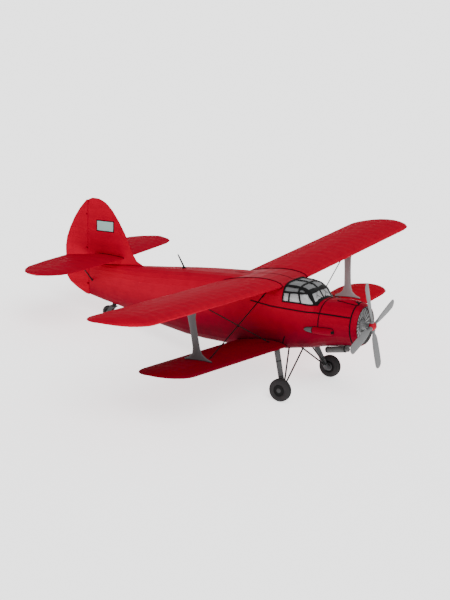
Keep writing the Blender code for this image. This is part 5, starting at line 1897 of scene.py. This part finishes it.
@dataclass
class Cockpit:
    """Seats, instruments, yoke grips, pedals and the pedestal with its levers."""

    bench: Bench
    panel_low: Pair = (2.39, 0.20)
    panel_high: Pair = (2.43, 0.56)
    seat_x: float = 0.42
    dial_rows: Pair = (0.285, 0.425)
    dial_count: int = 9
    dial_pitch: float = 0.150
    dial_radii: Pair = (0.043, 0.054)
    dial_depth: Pair = (-0.002, 0.003)
    bezel: Pair = (0.004, 0.006)                # how far off the panel, and its tube
    needle: Place = (0.004, 0.002, 1.3)         # width, thickness and length for a radius of one
    needle_proud: float = 0.005
    needle_turns: Pair = (0.7, 1.1)             # the first dial's, and the step from dial to dial
    grip: Outline = ((-0.075, 0.0), (-0.075, 0.018), (-0.045, 0.021), (0.0, 0.018), (0.022, 0.020), (0.030, 0.014),
                     (0.030, 0.0))
    grip_place: Place = (0.125, 2.58, 0.0)
    pedal_place: Place = (0.11, 2.40, -0.50)
    pedal: Place = (0.095, 0.022, 0.150)
    pedal_edge: float = 0.008
    pedal_lean: float = -28.0
    pedal_arm: tuple[Place, Place] = ((0.11, 2.41, -0.52), (0.11, 2.45, -0.66))
    pedal_arm_radius: float = 0.012
    pedestal: tuple[tuple[Place, Place, float], ...] = (
        ((0.0, 2.575, -0.28), (0.200, 0.250, 0.780), 0.018), ((0.0, 2.600, 0.130), (0.180, 0.190, 0.060), 0.022))
    levers: int = 4
    lever_pitch: float = 0.042
    lever_lean: float = 0.02
    lever: tuple[Pair, Pair, Pair] = ((2.60, 0.14), (2.57, 0.24), (2.57, 0.25))   # foot, top and knob
    lever_radius: float = 0.006
    knob: Outline = ((-0.016, 0.0), (-0.012, 0.012), (0.0, 0.017), (0.012, 0.012), (0.016, 0.0))
    rails: tuple[float, ...] = (-0.60, -0.22, 0.22, 0.60)
    rail_middle: Pair = (5.35, -0.687)
    rail: Place = (0.050, 3.60, 0.012)
    rail_edge: float = 0.003
    lashings: int = 5
    lashing_start: Pair = (3.75, -0.668)
    lashing_pitch: float = 0.80
    lashing: tuple[float, float, int] = (0.020, 0.005, 20)

    def dials(self) -> None:
        """Bezels, faces and needles over the panel."""
        bench = self.bench
        run = Vector((0.0, self.panel_high[0] - self.panel_low[0], self.panel_high[1] - self.panel_low[1])).normalized()
        out = Vector((0.0, run.z, -run.y))
        proud, tube = self.bezel
        wide, thick, long = self.needle
        back, front = self.dial_depth
        first, step = self.needle_turns
        bezels, faces, needles = bmesh.new(), bmesh.new(), bmesh.new()
        for row, z in enumerate(self.dial_rows):
            for number in range(self.dial_count):
                radius = self.dial_radii[bool((number + row) % 3)]
                x = (number - self.dial_count // 2) * self.dial_pitch
                centre = Vector((x, self.panel_low[0] + (z - self.panel_low[1]) * run.y / run.z, z))
                bench.hoop(bezels, tuple(centre + out * proud), tuple(out), radius, tube, 28)
                bench.lathe(faces, ((back, 0.0), (back, radius), (front, radius), (front, 0.0)), tuple(centre),
                            tuple(out), 28)
                turn = Matrix.Rotation(first + number * step + row, 4, "Y")
                bench.brick(needles, tuple(centre + out * self.needle_proud), (wide, thick, radius * long), 0.0, turn)
        bench.piece("dial_bezels", bezels, FRAME_BLACK, sharp=ROUND)
        bench.piece("dial_faces", faces, PANEL)
        bench.piece("dial_needles", needles, DIAL)

    def controls(self) -> None:
        """Yoke grips and pedals of both seats."""
        bench = self.bench
        grips, pedals = bmesh.new(), bmesh.new()
        turn = Matrix.Rotation(math.radians(self.pedal_lean), 4, "X")
        for middle in (self.seat_x, -self.seat_x):
            for side in (Side.STARBOARD, Side.PORT):
                bench.lathe(grips, self.grip, beside(side.mirror(self.grip_place), middle), UP, 20)
                bench.brick(pedals, beside(side.mirror(self.pedal_place), middle), self.pedal, self.pedal_edge, turn)
                bench.pipe(pedals, [beside(side.mirror(place), middle) for place in self.pedal_arm],
                           self.pedal_arm_radius)
        bench.piece("yoke_grips", grips, PIPING, sharp=ROUND)
        bench.piece("rudder_pedals", pedals, STEEL)

    def throttles(self) -> None:
        """The pedestal and its levers."""
        bench = self.bench
        bm, levers = bmesh.new(), bmesh.new()
        for box in self.pedestal:
            bench.brick(bm, *box)
        bench.piece("lever_pedestal", bm, PANEL)
        foot, top, knob = self.lever
        for number in range(self.levers):
            x = (number - (self.levers - 1) / 2) * self.lever_pitch
            lean = self.lever_lean * (number % 2)
            bench.pipe(levers, [(x, *foot), (x, top[0] - lean, top[1])], self.lever_radius)
            bench.lathe(levers, self.knob, (x, knob[0] - lean, knob[1]), UP, 16)
        bench.piece("lever_handles", levers, PIPING, sharp=ROUND)

    def floor(self) -> None:
        """The lashing rails on the cabin floor."""
        bm = bmesh.new()
        y, z = self.lashing_start
        for x in self.rails:
            self.bench.brick(bm, (x, *self.rail_middle), self.rail, self.rail_edge)
            for number in range(self.lashings):
                self.bench.hoop(bm, (x, y + number * self.lashing_pitch, z), AFT, *self.lashing)
        self.bench.piece("lashing_rails", bm, STEEL)

    def build(self) -> None:
        """Make everything in the cockpit and on the cabin floor."""
        for side in Side:
            Seat(self.bench, side).build()
        self.dials()
        self.controls()
        self.throttles()
        self.floor()


@dataclass
class Studio:
    """The floor, the light and the camera at the drawing's angle."""

    bench: Bench
    camera_place: Place = (-50.6127, -25.1181, 14.6311)
    right: Place = (0.525088, -0.851048, -0.000665)
    up: Place = (0.201235, 0.123400, 0.971739)
    back: Place = (-0.826915, -0.510382, 0.236057)
    lens: float = 108.14
    sensor: float = 36.0
    reach: Pair = (1.0, 900.0)
    floor_radius: float = 420.0
    floor_drop: float = 0.002
    sky: float = 0.62
    lamps: tuple[tuple[str, Place, float, float], ...] = (
        ("key", (-0.55, -0.50, 1.0), 1.9, 0.7), ("fill", (0.8, -0.2, 0.7), 0.4, 1.2))

    def stand(self, name: str, data: bpy.types.ID) -> bpy.types.Object:
        """Put a new object into the scene.

        Args:
            name: The object's name.
            data: Its mesh, lamp or camera.

        Returns:
            The object.
        """
        made = bpy.data.objects.new(name, data)
        bpy.context.scene.collection.objects.link(made)
        return made

    def camera(self) -> None:
        """Look from the drawing's own direction."""
        data = bpy.data.cameras.new("camera")
        data.lens = self.lens
        data.sensor_width = self.sensor
        data.clip_start, data.clip_end = self.reach
        camera = self.stand("camera", data)
        turn = Matrix((self.right, self.up, self.back)).transposed()
        camera.matrix_world = self.bench.level.matrix @ (Matrix.Translation(self.camera_place) @ turn.to_4x4())
        bpy.context.scene.camera = camera

    def floor(self) -> None:
        """Lay the pale floor just under the wheels."""
        bm = bmesh.new()
        bmesh.ops.create_circle(bm, cap_ends=True, segments=64, radius=self.floor_radius,
                                matrix=Matrix.Translation((0, 0, -self.floor_drop)))
        mesh = bpy.data.meshes.new("floor")
        bm.to_mesh(mesh)
        bm.free()
        mesh.materials.append(FLOOR.build(self.bench.level))
        self.stand("floor", mesh)

    def light(self) -> None:
        """Hang the even sky and both lamps."""
        world = bpy.data.worlds.new("pale_room")
        bpy.context.scene.world = world
        world.use_nodes = True
        sky = world.node_tree.nodes["Background"].inputs
        sky["Color"].default_value = (1.0, 1.0, 1.0, 1.0)
        sky["Strength"].default_value = self.sky
        for name, place, strength, spread in self.lamps:
            lamp = bpy.data.lights.new(name, "SUN")
            lamp.energy = strength
            lamp.angle = spread
            self.stand(name, lamp).rotation_euler = Vector(place).to_track_quat("Z", "Y").to_euler()

    def build(self) -> None:
        """Make all three."""
        self.camera()
        self.floor()
        self.light()


def dress_solids(bench: Bench) -> None:
    """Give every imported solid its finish.

    Args:
        bench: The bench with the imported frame.
    """
    sides = [side.word for side in Side]
    bench.dress(RED_SKIN, "nose_section", "cabin_section", "tail_cone", "cabin_door", "engine_cowl",
                "carburettor_intake", "side_duct")
    bench.dress(SPINNER, "propeller_hub")
    bench.dress(RED_WINGS, *[f"{stem}_{side}" for side in sides for stem in ("upper_wing", "aileron", "upper_flap")])
    # Painted shade: the starboard lower wing and flap get the darker copy of the wing red.
    bench.dress(RED_SHADED_LOW_WING, "lower_wing_starboard", "lower_flap_starboard")
    bench.dress(RED_WINGS, "lower_wing_port", "lower_flap_port")
    bench.dress(RED_TAIL, *[f"{stem}_{side}" for side in sides for stem in ("tailplane", "elevator")])
    bench.dress(RED_FIN, "fin", "rudder")
    bench.dress(GEAR_GREY, "main_gear_port", "main_gear_starboard")
    bench.dress(STRUT_GREY, "interplane_strut_starboard")
    bench.dress(CAP_GREY, "tail_wheel_bracket", "tail_wheel_fork")
    # Painted light: the port strut gets the lighter copy of the strut grey.
    bench.dress(STRUT_PAINTED_LIGHT, "interplane_strut_port")
    bench.dress(EXHAUST_GREY, "exhaust_pipe")
    bench.dress(HUB_GREY, *[f"main_{side}_wheel_hub" for side in sides], "tail_wheel_hub")
    bench.dress(STAY_BLACK, *[f"{stem}_{side}" for side in sides for stem in (
        "flying_stay", "landing_stay", "tailplane_strut")])
    bench.dress(FRAME_BLACK, "canopy_frame", "aerial_mast", "control_columns")
    bench.dress(PANE, "canopy_glass")
    bench.dress(SHUTTER_GREY, "cowl_shutters")
    bench.dress(IRON, "engine_block")
    bench.dress(CASE_GREY, "gear_case")
    bench.dress(BLADE_GREY, *[f"propeller_blade_{number}" for number in range(1, 5)])
    bench.dress(RUBBER, "main_port_tyre", "main_starboard_tyre", "tail_tyre")
    bench.dress(LINING, "cabin_floor", "cockpit_bulkhead", "rear_bulkhead")
    bench.dress(PANEL, "instrument_panel")
    bench.dress(CLOTH, "pilot_seat_port", "pilot_seat_starboard")


def main() -> None:
    """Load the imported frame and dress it."""
    logging.basicConfig(level=logging.INFO, format="%(message)s")
    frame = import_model()
    bench = Bench(frame, Level.of_frame(frame))
    dress_solids(bench)
    for assembly in (Seams, Junctions, Rivets, Tapes, CowlFront, PropellerTrim, DuctTrim, MainGear, TailWheel,
                     TailTrim, StayFittings, CanopyTrim, DoorTrim, Cockpit, Studio):
        assembly(bench).build()
        LOG.info("%s is done", assembly.__name__)


if __name__ == "__main__":
    main()
